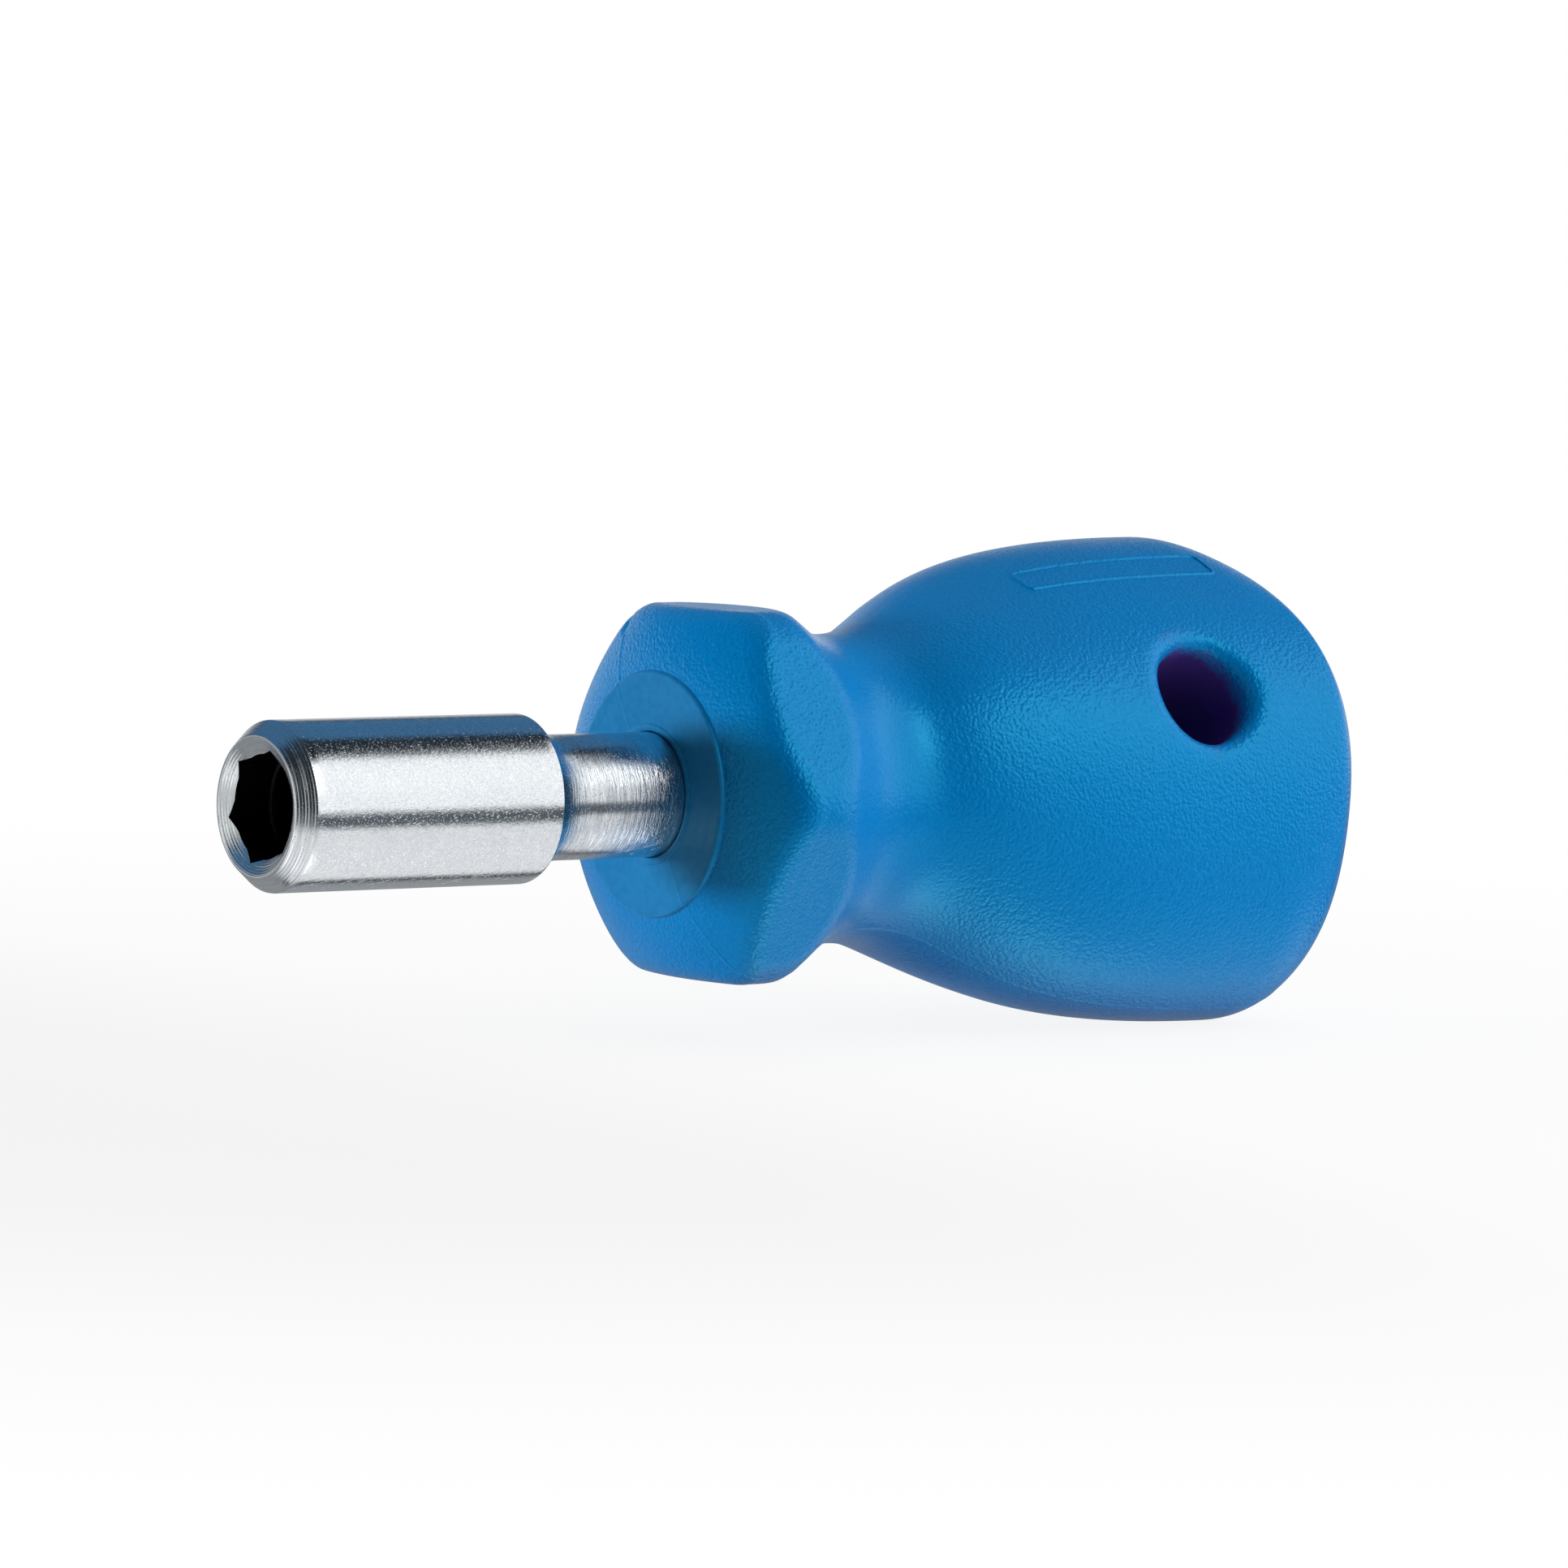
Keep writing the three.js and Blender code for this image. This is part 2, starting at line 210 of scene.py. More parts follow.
@dataclass
class Weaver:
    """Gathers the points and faces of one mesh, with a finish for each face."""

    points: list[np.ndarray] = field(default_factory=list)
    faces: list[tuple[int, ...]] = field(default_factory=list)
    zones: list[int] = field(default_factory=list)
    count: int = 0

    def add(self, points: np.ndarray) -> np.ndarray:
        """Adds points.

        Args:
            points: Points in millimetres, one in each row.

        Returns:
            The numbers that the points got.
        """
        self.points.append(points)
        numbers = np.arange(self.count, self.count + len(points))
        self.count += len(points)
        return numbers

    def band(self, near: np.ndarray, far: np.ndarray, zone: int, skipped: np.ndarray | None = None) -> None:
        """Joins two closed rings by a band of four-sided faces.

        Args:
            near: Point numbers of one ring.
            far: Point numbers of the other, as many.
            zone: Finish of the faces.
            skipped: True for each face that is left out, where some are.
        """
        for column in range(len(near)):
            if skipped is None or not skipped[column]:
                after = (column + 1) % len(near)
                self.faces.append((int(near[column]), int(far[column]), int(far[after]), int(near[after])))
                self.zones.append(zone)

    def grow(self, last: np.ndarray, points: np.ndarray, zone: int) -> np.ndarray:
        """Adds a ring and joins it to the last one.

        Args:
            last: Point numbers of the last ring.
            points: Points of the new one in millimetres, as many.
            zone: Finish of the faces.

        Returns:
            Point numbers of the new ring.
        """
        ring = self.add(points)
        self.band(last, ring, zone)
        return ring

    def fan(self, tip: int, ring: np.ndarray, zone: int) -> None:
        """Closes a ring with a fan of faces.

        Args:
            tip: Number of the point on the axis.
            ring: Point numbers of the ring.
            zone: Finish of the faces.
        """
        for column in range(len(ring)):
            self.faces.append((int(tip), int(ring[column]), int(ring[(column + 1) % len(ring)])))
            self.zones.append(zone)

    def make(self, name: str, finishes: Sequence[bpy.types.Material], crease: float) -> bpy.types.Object:
        """Makes the mesh object in metres.

        Args:
            name: Name of the piece.
            finishes: Materials in the order of the zones.
            crease: Angle in degrees above which an edge stays sharp.

        Returns:
            The new object, with its faces turned outwards.
        """
        mesh = bpy.data.meshes.new(name)
        mesh.from_pydata((np.concatenate(self.points) * MM).tolist(), [], self.faces)
        mesh.polygons.foreach_set("material_index", self.zones)
        for finish in finishes:
            mesh.materials.append(finish)
        skin = bmesh.new()
        skin.from_mesh(mesh)
        bmesh.ops.recalc_face_normals(skin, faces=skin.faces[:])
        skin.to_mesh(mesh)
        skin.free()
        mesh.shade_smooth()
        mesh.set_sharp_from_angle(angle=math.radians(crease))
        piece = bpy.data.objects.new(name, mesh)
        bpy.context.scene.collection.objects.link(piece)
        return piece


# Shader groups


class NodeBoard:
    """Places and links the nodes of one shader tree."""

    def __init__(self, tree: bpy.types.NodeTree) -> None:
        """Takes the tree and clears it."""
        self.tree = tree
        tree.nodes.clear()

    def add(self, kind: str, **settings: object) -> bpy.types.Node:
        """Adds a node.

        Args:
            kind: Type of the node, without its prefix.
            settings: Properties to set on it.

        Returns:
            The new node.
        """
        node = self.tree.nodes.new("ShaderNode" + kind)
        for name, value in settings.items():
            setattr(node, name, value)
        return node

    def feed(self, target: bpy.types.NodeSocket, source: object) -> None:
        """Links a socket to another one, or sets it to a plain value.

        Args:
            target: Socket that receives.
            source: Socket that gives, or a value.
        """
        if isinstance(source, bpy.types.NodeSocket):
            self.tree.links.new(source, target)
        else:
            target.default_value = source

    def math(self, operation: str, first: object, second: object = 0.0) -> bpy.types.NodeSocket:
        """Works out one or two values.

        Args:
            operation: Blender's name of the operation.
            first: First socket or number.
            second: Second socket or number, where the operation has one.

        Returns:
            The socket of the result.
        """
        node = self.add("Math", operation=operation)
        self.feed(node.inputs[0], first)
        self.feed(node.inputs[1], second)
        return node.outputs[0]

    def weigh(self, first: object, second: object, share: float) -> bpy.types.NodeSocket:
        """Adds two values by weight.

        Args:
            first: Socket of the first value.
            second: Socket of the second value.
            share: Weight of the second. The first has the rest of 1.

        Returns:
            The socket of the sum.
        """
        rest = self.math("MULTIPLY", first, 1.0 - share)
        return self.math("ADD", rest, self.math("MULTIPLY", second, share))

    def parts(self, vector: object) -> bpy.types.Node:
        """Parts a vector into its X, Y and Z.

        Args:
            vector: Socket of the vector.

        Returns:
            The node that has them as outputs.
        """
        node = self.add("SeparateXYZ")
        self.feed(node.inputs[0], vector)
        return node

    def stretch(self, vector: object, factors: object) -> bpy.types.NodeSocket:
        """Multiplies a vector by another one, part by part.

        Args:
            vector: Socket of the vector.
            factors: Socket or values of the factors.

        Returns:
            The socket of the result.
        """
        node = self.add("VectorMath", operation="MULTIPLY")
        self.feed(node.inputs[0], vector)
        self.feed(node.inputs[1], factors)
        return node.outputs[0]

    def in_steps(self, vector: object, size: object) -> bpy.types.NodeSocket:
        """Counts a place in steps of a size.

        Args:
            vector: Socket of the place in metres.
            size: Socket of the size in millimetres.

        Returns:
            The socket of the place in steps.
        """
        node = self.add("VectorMath", operation="SCALE")
        self.feed(node.inputs[0], vector)
        self.feed(node.inputs["Scale"], self.math("DIVIDE", 1.0 / MM, size))
        return node.outputs[0]

    def noise(self, vector: object, detail: float, roughness: float) -> bpy.types.NodeSocket:
        """Adds a noise of unit size.

        Args:
            vector: Socket of the place in space.
            detail: Number of finer layers.
            roughness: Weight of the finer layers.

        Returns:
            The socket of its value.
        """
        node = self.add("TexNoise")
        self.feed(node.inputs["Vector"], vector)
        self.feed(node.inputs["Scale"], 1.0)
        self.feed(node.inputs["Detail"], detail)
        self.feed(node.inputs["Roughness"], roughness)
        return node.outputs[0]

    def remap(self, value: object, source: Span, target: Span) -> bpy.types.NodeSocket:
        """Maps a value from one range to another, and holds it there.

        Args:
            value: Socket of the value.
            source: Range that it comes from.
            target: Range that it goes to.

        Returns:
            The socket of the result.
        """
        node = self.add("MapRange", interpolation_type="SMOOTHSTEP")
        self.feed(node.inputs["Value"], value)
        for name, number in zip(("From Min", "From Max", "To Min", "To Max"), (*source, *target)):
            self.feed(node.inputs[name], number)
        return node.outputs["Result"]

    def blend(self, share: object, first: object, second: object, way: str = "MIX") -> bpy.types.NodeSocket:
        """Blends two colours.

        Args:
            share: Socket or value of the second colour's share.
            first: Socket or colour at 0.
            second: Socket or colour at 1.
            way: Blender's name of the way to blend.

        Returns:
            The socket of the blended colour.
        """
        node = self.add("Mix", data_type="RGBA", blend_type=way)
        self.feed(node.inputs["Factor"], share)
        for spot, colour in ((MIX_FIRST, first), (MIX_SECOND, second)):
            self.feed(node.inputs[spot], (*colour, 1.0) if isinstance(colour, tuple) else colour)
        return node.outputs[MIX_RESULT]

    def place_group(self, group: bpy.types.NodeTree, **inputs: object) -> bpy.types.Node:
        """Places a shader group.

        Args:
            group: The group.
            inputs: Sockets or values for its inputs.

        Returns:
            The node that holds it.
        """
        node = self.add("Group", node_tree=group)
        for name, value in inputs.items():
            self.feed(node.inputs[name], value)
        return node


def open_group(
    name: str, inputs: dict[str, str], outputs: Sequence[str]
) -> tuple[NodeBoard, Sockets, Sockets]:
    """Starts a shader group.

    Args:
        name: Name of the group.
        inputs: Kind of each input socket, Vector or Float, under its name.
        outputs: Names of the outputs, all plain values.

    Returns:
        The group's board, its input sockets and its output sockets, under their names.
    """
    tree = bpy.data.node_groups.new(name, "ShaderNodeTree")
    for title, kind in inputs.items():
        tree.interface.new_socket(name=title, in_out="INPUT", socket_type="NodeSocket" + kind)
    for title in outputs:
        tree.interface.new_socket(name=title, in_out="OUTPUT", socket_type="NodeSocketFloat")
    board = NodeBoard(tree)
    entry = tree.nodes.new("NodeGroupInput")
    leave = tree.nodes.new("NodeGroupOutput")
    given = {title: entry.outputs[title] for title in inputs}
    return board, given, {title: leave.inputs[title] for title in outputs}


@dataclass(frozen=True)
class SurfaceGroups:
    """Effects that more than one finish uses."""

    grain: bpy.types.NodeTree
    lines: bpy.types.NodeTree
    scratches: bpy.types.NodeTree
    mottle: bpy.types.NodeTree

    @classmethod
    def build(cls) -> "SurfaceGroups":
        """Builds the four groups once."""
        return cls(cls.moulded_grain(), cls.drawn_lines(), cls.fine_scratches(), cls.soft_mottle())

    @staticmethod
    def moulded_grain() -> bpy.types.NodeTree:
        """Builds the pebbled grain that a spark-worn mould leaves on plastic.

        Returns:
            The group: Height of the grain and the hollow mask, which is 1 between the pebbles, where the
                colour is darkened as painted shade.
        """
        pebble_scale = 0.8
        pebble_softness = 0.6
        pebble_reach = (0.1, 0.85)
        pebble_share = 0.35
        hollow_heights = (0.3, 0.62)
        inputs = {"Vector": "Vector", "Size": "Float"}
        board, given, out = open_group("moulded_grain", inputs, ("Height", "ShadedHollow"))
        where = board.in_steps(given["Vector"], given["Size"])
        fine = board.noise(where, detail=1.6, roughness=0.55)
        cells = board.add("TexVoronoi", feature="SMOOTH_F1")
        board.feed(cells.inputs["Vector"], where)
        board.feed(cells.inputs["Scale"], pebble_scale)
        board.feed(cells.inputs["Smoothness"], pebble_softness)
        pebble = board.remap(cells.outputs["Distance"], pebble_reach, FALL)
        height = board.weigh(fine, pebble, pebble_share)
        board.feed(out["Height"], height)
        board.feed(out["ShadedHollow"], board.remap(height, hollow_heights, FALL))
        return board.tree

    @staticmethod
    def drawn_lines() -> bpy.types.NodeTree:
        """Builds fine lines that run along one way, as turning, drawing or grinding leaves them.

        Returns:
            The group: Height of the lines and Sheen, which is 1 on the higher ones.
        """
        sheen_heights = (0.35, 0.65)
        inputs = {"Vector": "Vector", "Lines": "Vector"}
        board, given, out = open_group("drawn_lines", inputs, ("Height", "Sheen"))
        height = board.noise(board.stretch(given["Vector"], given["Lines"]), detail=4.0, roughness=0.7)
        board.feed(out["Height"], height)
        board.feed(out["Sheen"], board.remap(height, sheen_heights, RISE))
        return board.tree

    @staticmethod
    def fine_scratches() -> bpy.types.NodeTree:
        """Builds sparse hairline scratches that cross at several angles, with a few small pits.

        Returns:
            The group: Depth, which is 1 on a scratch or in a pit.
        """
        turns = ((0.3, 0.2, 0.5), (1.2, 0.7, -0.4), (-0.6, 1.4, 0.9))
        streak_heights = (0.66, 0.74)
        pits_per_metre = 520.0
        pit_reach = (0.035, 0.07)
        inputs = {"Vector": "Vector", "Length": "Float", "Width": "Float"}
        board, given, out = open_group("fine_scratches", inputs, ("Depth",))
        counts = board.add("CombineXYZ")
        for axis, size in zip(Axis, ("Length", "Width", "Width")):
            board.feed(counts.inputs[int(axis)], board.math("DIVIDE", 1.0 / MM, given[size]))
        depth: object = 0.0
        for turn in turns:
            turned = board.add("VectorRotate", rotation_type="EULER_XYZ")
            board.feed(turned.inputs["Vector"], given["Vector"])
            board.feed(turned.inputs["Rotation"], turn)
            stretched = board.stretch(turned.outputs[0], counts.outputs[0])
            streak = board.noise(stretched, detail=1.0, roughness=0.5)
            depth = board.math("MAXIMUM", depth, board.remap(streak, streak_heights, RISE))
        pits = board.add("TexVoronoi", feature="F1")
        board.feed(pits.inputs["Vector"], given["Vector"])
        board.feed(pits.inputs["Scale"], pits_per_metre)
        pit = board.remap(pits.outputs["Distance"], pit_reach, FALL)
        board.feed(out["Depth"], board.math("MAXIMUM", depth, pit))
        return board.tree

    @staticmethod
    def soft_mottle() -> bpy.types.NodeTree:
        """Builds broad, soft unevenness.

        Returns:
            The group: Value from 0 to 1.
        """
        cloud_heights = (0.25, 0.75)
        inputs = {"Vector": "Vector", "Size": "Float"}
        board, given, out = open_group("soft_mottle", inputs, ("Value",))
        cloud = board.noise(board.in_steps(given["Vector"], given["Size"]), detail=3.0, roughness=0.55)
        board.feed(out["Value"], board.remap(cloud, cloud_heights, RISE))
        return board.tree


# Finishes

# Gloss of the handle's plastic: its level, and a tint that takes the red out of it
PLASTIC_SPECULAR = 0.58
PLASTIC_GLOSS_TINT: Colour = (0.09, 0.95, 1.0)


def start_material(name: str) -> tuple[bpy.types.Material, NodeBoard, bpy.types.Node, bpy.types.NodeSocket]:
    """Starts a material with a principled shader.

    Args:
        name: Name of the material.

    Returns:
        The material, its board, the shader and the socket of the place on the object in metres.
    """
    material = bpy.data.materials.new(name)
    material.use_nodes = True
    board = NodeBoard(material.node_tree)
    shader = board.add("BsdfPrincipled")
    output = board.add("OutputMaterial")
    board.feed(output.inputs["Surface"], shader.outputs["BSDF"])
    return material, board, shader, board.add("TexCoord").outputs["Object"]


def raise_bump(board: NodeBoard, shader: bpy.types.Node, height: object, depth: float) -> None:
    """Gives a shader a bumped surface.

    Args:
        board: Board of the material.
        shader: Its principled shader.
        height: Socket of the height from 0 to 1.
        depth: Height in millimetres that 1 stands for.
    """
    bump = board.add("Bump")
    board.feed(bump.inputs["Height"], height)
    board.feed(bump.inputs["Distance"], depth * MM)
    board.feed(bump.inputs["Strength"], 1.0)
    board.feed(shader.inputs["Normal"], bump.outputs["Normal"])


def gloss_plastic(board: NodeBoard, shader: bpy.types.Node) -> None:
    """Gives a shader the gloss of the handle's plastic."""
    board.feed(shader.inputs["Specular IOR Level"], PLASTIC_SPECULAR)
    board.feed(shader.inputs["Specular Tint"], (*PLASTIC_GLOSS_TINT, 1.0))


@dataclass(frozen=True)
class Grain:
    """Size and height of a moulded grain, and the roughness of its smoother and its duller places."""

    size: float
    height: float
    roughness: Span


GRIP_GRAIN = Grain(size=0.2, height=0.078, roughness=(0.2, 0.26))
DISC_GRAIN = Grain(size=0.5, height=0.006, roughness=(0.34, 0.4))


@dataclass(frozen=True)
class PlasticFinish:
    """Coloured moulded plastic with a fine grain, which may be fainter round the waist. Its colour is darker
    in the grain's hollows as painted shade, mixed with a random mottle.
    """

    name: str
    colour: Colour
    hollow_shade_colour: Colour
    grain: Grain
    waist_grain: float = 1.0
    waist_station: float = 43.35
    waist_span: Span = (1.35, 9.0)
    mottle_size: float = 7.0
    mottle_share: float = 0.3

    def material(self, groups: SurfaceGroups) -> bpy.types.Material:
        """Makes the material.

        Args:
            groups: The shared shader groups.

        Returns:
            The new material.
        """
        material, board, shader, where = start_material(self.name)
        grain = board.place_group(groups.grain, Vector=where, Size=self.grain.size)
        mottle = board.place_group(groups.mottle, Vector=where, Size=self.mottle_size).outputs["Value"]
        waist = (self.waist_station - SEAT_STATION) * MM
        off_waist = board.math("ABSOLUTE", board.math("SUBTRACT", board.parts(where).outputs["X"], waist))
        near, far = (distance * MM for distance in self.waist_span)
        strength = board.remap(off_waist, (near, far), (self.waist_grain, 1.0))
        height = board.math("MULTIPLY", grain.outputs["Height"], strength)
        raise_bump(board, shader, height, self.grain.height)
        # Painted shade: the colour darkens in the grain's hollows, blended with a random mottle.
        share = board.weigh(grain.outputs["ShadedHollow"], mottle, self.mottle_share)
        board.feed(shader.inputs["Base Color"], board.blend(share, self.colour, self.hollow_shade_colour))
        board.feed(shader.inputs["Roughness"], board.remap(mottle, RISE, self.grain.roughness))
        gloss_plastic(board, shader)
        return material


@dataclass(frozen=True)
class BoreFinish:
    """The same plastic in a bore, darker away from the mouths as painted shade. The axis angle is in radians.
    """

    name: str
    colour: Colour
    painted_shade_colour: Colour
    grain: Grain
    axis_angle: float
    deep_at: float
    mouth_at: float
    shade_edge_size: float = 1.6
    shade_edge_reach: float = 0.8

    def material(self, groups: SurfaceGroups) -> bpy.types.Material:
        """Makes the material.

        Args:
            groups: The shared shader groups.

        Returns:
            The new material.
        """
        material, board, shader, where = start_material(self.name)
        along = board.add("VectorMath", operation="DOT_PRODUCT")
        board.feed(along.inputs[0], where)
        board.feed(along.inputs[1], (0.0, -math.cos(self.axis_angle), math.sin(self.axis_angle)))
        mottle = board.place_group(groups.mottle, Vector=where, Size=self.shade_edge_size).outputs["Value"]
        grain = board.place_group(groups.grain, Vector=where, Size=self.grain.size)
        # Painted shade: the colour turns from the plastic's blue at the mouths to a dark purple deep in the
        # bore, along an uneven edge.
        depth = board.math("ABSOLUTE", along.outputs["Value"])
        uneven = board.math("ADD", depth, board.math("MULTIPLY", mottle, self.shade_edge_reach * MM))
        share = board.remap(uneven, (self.deep_at * MM, self.mouth_at * MM), RISE)
        board.feed(shader.inputs["Base Color"], board.blend(share, self.painted_shade_colour, self.colour))
        board.feed(shader.inputs["Roughness"], board.remap(mottle, RISE, self.grain.roughness))
        gloss_plastic(board, shader)
        height = board.math("MULTIPLY", grain.outputs["Height"], share)
        raise_bump(board, shader, height, self.grain.height)
        return material


@dataclass(frozen=True)
class SteelFinish:
    """Bright metal with lines along one way, so many to a millimetre, and stray scratches."""

    name: str
    colour: Colour
    dull_colour: Colour
    roughness: Span
    lines: Triple
    line_depth: float
    scratch_depth: float
    scratch_length: float = 2.6
    scratch_width: float = 0.11
    mottle_size: float = 2.2
    mottle_share: float = 0.28
    wear_span: Span = (0.15, 1.0)

    def material(self, groups: SurfaceGroups) -> bpy.types.Material:
        """Makes the material.

        Args:
            groups: The shared shader groups.

        Returns:
            The new material.
        """
        material, board, shader, where = start_material(self.name)
        per_metre = tuple(count / MM for count in self.lines)
        lines = board.place_group(groups.lines, Vector=where, Lines=per_metre)
        scratches = board.place_group(
            groups.scratches, Vector=where, Length=self.scratch_length, Width=self.scratch_width
        )
        mottle = board.place_group(groups.mottle, Vector=where, Size=self.mottle_size)
        share = board.weigh(lines.outputs["Sheen"], mottle.outputs["Value"], self.mottle_share)
        worn = board.math("MAXIMUM", share, scratches.outputs["Depth"])
        board.feed(shader.inputs["Base Color"], board.blend(worn, self.colour, self.dull_colour))
        board.feed(shader.inputs["Roughness"], board.remap(worn, self.wear_span, self.roughness))
        board.feed(shader.inputs["Metallic"], 1.0)
        cut = board.math("MULTIPLY", scratches.outputs["Depth"], self.scratch_depth / self.line_depth)
        raise_bump(board, shader, board.math("SUBTRACT", lines.outputs["Height"], cut), self.line_depth)
        return material


# Pieces


@dataclass
class Handle:
    """The moulded handle: a disc, a six-sided collar, a round waist and an oval grip with a hang hole."""

    groups: SurfaceGroups

    # Hole for the neck, with a low lip round it
    neck_hole_radius: float = 4.03
    neck_hole_end: float = 33.0
    neck_hole_edge: float = 0.15
    neck_hole_rows: int = 5
    lip_gap: float = 0.02
    lip_half_width: float = 0.24
    lip_height: float = 0.1
    lip_rows: int = 7

    # Smooth disc, with ripples given by height and pitch
    disc_at: float = 29.9
    disc_height: float = 0.3
    disc_radius: float = 7.9
    disc_edge: float = 0.24
    disc_edge_rows: int = 6
    disc_from_hole: float = 0.62
    disc_pitch: float = 0.09
    ripples: tuple[Span, ...] = ((0.002, 0.42), (0.003, 1.1))

    # Front face and six-sided collar
    front_gap: float = 0.07
    front_slope: float = 11.6
    front_crown_radius: float = 8.0
    front_spacing: float = 1.15
    front_rows: int = 20
    collar_apothem: float = 11.92
    collar_corner: float = 3.6
    collar_rim: float = 1.05
    collar_rim_rows: int = 9
    collar_crease: float = 0.55
    blank_radius: float = 13.339

    # Flare from the collar to the waist, and the waist
    flare_at: float = 34.95
    flare_pulls: Span = (2.6, 4.0)
    flare_rows: int = 39
    waist_at: float = 43.35
    waist_radius: float = 10.0

    # Oval grip: its wide and thin outlines, with pulls at the waist, the belly, the heel and the butt
    butt_at: float = 83.2
    parting_angle: float = 120.0
    wide_half: float = 16.8
    wide_at: float = 71.55
    wide_pulls: tuple[float, float, float, float] = (7.7, 22.4, 7.2, 5.6)
    thin_half: float = 14.0
    thin_at: float = 76.1
    thin_pulls: tuple[float, float, float, float] = (5.4, 32.0, 0.7, 6.8)
    ridge_share: float = 0.03
    ridge_run_in: float = 12.0
    rise_rows: int = 58
    heel_rows: int = 46

    # Hang hole, and the opening that the skin leaves for it
    hole_at: float = 65.9
    hole_radius: float = 3.3
    mouth_radius: float = 4.85
    mouth_depth: float = 1.9
    opening_margin: float = 1.9
    opening_half_angle: float = 28.6
    skirt_rows: int = 8
    mouth_rows: int = 11
    bore_rows: int = 16

    # Flash along the parting line, uneven by two waves, and a nick in the collar's rim
    flash_height: float = 0.075
    flash_width: float = 0.1
    flash_uneven: float = 0.25
    flash_waves: Triple = (1.9, 0.73, 1.1)
    flash_fade: Span = (3.0, 5.0)
    side_flash_share: float = 0.5
    nick_at: float = 32.4
    nick_turn: float = 0.8
    nick_depth: float = 0.3
    nick_length: float = 0.5
    nick_width: float = 0.28
    nick_push: float = 0.4

    # Border of the blank plate: across its line, shares of its half width and heights over the skin
    plate_at: float = 65.0
    plate_angle: float = 79.7
    plate_length: float = 15.2
    plate_width: float = 2.45
    plate_corner: float = 0.45
    plate_line: float = 0.34
    plate_skin_radius: float = 14.0
    border_profile: tuple[Span, ...] = ((-1.0, -0.06), (-0.5, 0.09), (0.0, 0.12), (0.5, 0.09), (1.0, -0.06))
    border_steps: int = 240
    corner_steps: int = 7

    # Fineness and shading of the mesh
    columns: int = 240
    beside_parting: tuple[float, ...] = (0.2, 0.4, 0.65, 1.0)
    crease: float = 34.0
    border_crease: float = 50.0

    angles: np.ndarray = field(init=False)
    hole_axis: float = field(init=False)
    weaver: Weaver = field(init=False)

    def __post_init__(self) -> None:
        """Lays out the columns, closer together beside the parting line."""
        even = np.arange(self.columns) * 360.0 / self.columns
        beside = np.array(self.beside_parting)
        extra = [self.parting_angle + half + side * beside for half in (0.0, 180.0) for side in (-1, 1)]
        self.angles = np.radians(np.sort(np.concatenate((even, *extra))))
        self.hole_axis = math.radians(self.parting_angle) - math.pi / 2
        self.weaver = Weaver()

    def finishes(self) -> list[bpy.types.Material]:
        """Makes the handle's materials.

        Returns:
            The materials in the order of the handle's zones.
        """
        grip = PlasticFinish(
            name="blue_grained_plastic",
            colour=(0.0, 0.213, 0.575),
            hollow_shade_colour=(0.0, 0.188, 0.53),
            grain=GRIP_GRAIN,
            waist_grain=0.4,
        )
        disc = PlasticFinish(
            name="blue_smooth_plastic",
            colour=(0.012, 0.2, 0.48),
            hollow_shade_colour=(0.006, 0.17, 0.44),
            grain=DISC_GRAIN,
        )
        # The bore's dark purple deep inside is painted shade.
        bore = BoreFinish(
            name="blue_bore_plastic_painted_shade",
            colour=(0.0, 0.203, 0.556),
            painted_shade_colour=(0.085, 0.042, 0.27),
            grain=GRIP_GRAIN,
            axis_angle=self.hole_axis,
            deep_at=11.9,
            mouth_at=13.3,
        )
        return [finish.material(self.groups) for finish in (grip, disc, bore)]

    def front_station(self, radius: np.ndarray) -> np.ndarray:
        """Finds the front face.

        Args:
            radius: Distances from the tool's axis.

        Returns:
            The station of the face at each of them.
        """
        out = radius - self.disc_radius
        back = out * math.tan(math.radians(self.front_slope)) + out**2 / (2 * self.front_crown_radius)
        return self.disc_at + self.disc_height + back

    def flare_radius(self, station: np.ndarray) -> np.ndarray:
        """Finds the S that falls from the collar to the waist.

        Args:
            station: Stations along the flare.

        Returns:
            The radius at each of them.
        """
        shoulder, waist = self.flare_pulls
        controls = (
            (self.flare_at, self.blank_radius),
            (self.flare_at + shoulder, self.blank_radius),
            (self.waist_at - waist, self.waist_radius),
            (self.waist_at, self.waist_radius),
        )
        curve = bezier(controls, steps=160)
        return np.interp(station, curve[:, 0], curve[:, 1])

    def outline_half(
        self, station: np.ndarray, half: float, belly: float, pulls: Sequence[float]
    ) -> np.ndarray:
        """Gives the half width of one of the grip's two outlines.

        Args:
            station: Stations along the grip.
            half: Half width at the belly.
            belly: Station of the belly.
            pulls: Handles of the curve at the waist, the belly, the heel and the butt.

        Returns:
            The half widths in millimetres.
        """
        rise = (
            (self.waist_at, self.waist_radius),
            (self.waist_at + pulls[0], self.waist_radius),
            (belly - pulls[1], half),
            (belly, half),
        )
        heel = (
            (belly, half),
            (belly + pulls[2], half),
            (self.butt_at, pulls[3]),
            (self.butt_at, 0.0),
        )
        curve = np.concatenate((bezier(rise, steps=300), bezier(heel, steps=600)[1:]))
        return np.interp(station, curve[:, 0], curve[:, 1])

    def grip_radius(self, station: np.ndarray, angle: np.ndarray) -> np.ndarray:
        """Gives the grip's radius at stations and angles.

        Args:
            station: Stations along the grip.
            angle: Angles round the tool in radians.

        Returns:
            The radii in millimetres.
        """
        least = 1e-6
        wide = np.maximum(self.outline_half(station, self.wide_half, self.wide_at, self.wide_pulls), least)
        thin = np.maximum(self.outline_half(station, self.thin_half, self.thin_at, self.thin_pulls), least)
        turn = angle - math.radians(self.parting_angle)
        oval = 1.0 / np.hypot(np.cos(turn) / wide, np.sin(turn) / thin)
        ridges = self.ridge_share * smoothstep(station, self.waist_at, self.waist_at + self.ridge_run_in)
        return oval * (1.0 - ridges * (1.0 - np.cos(4 * turn)))

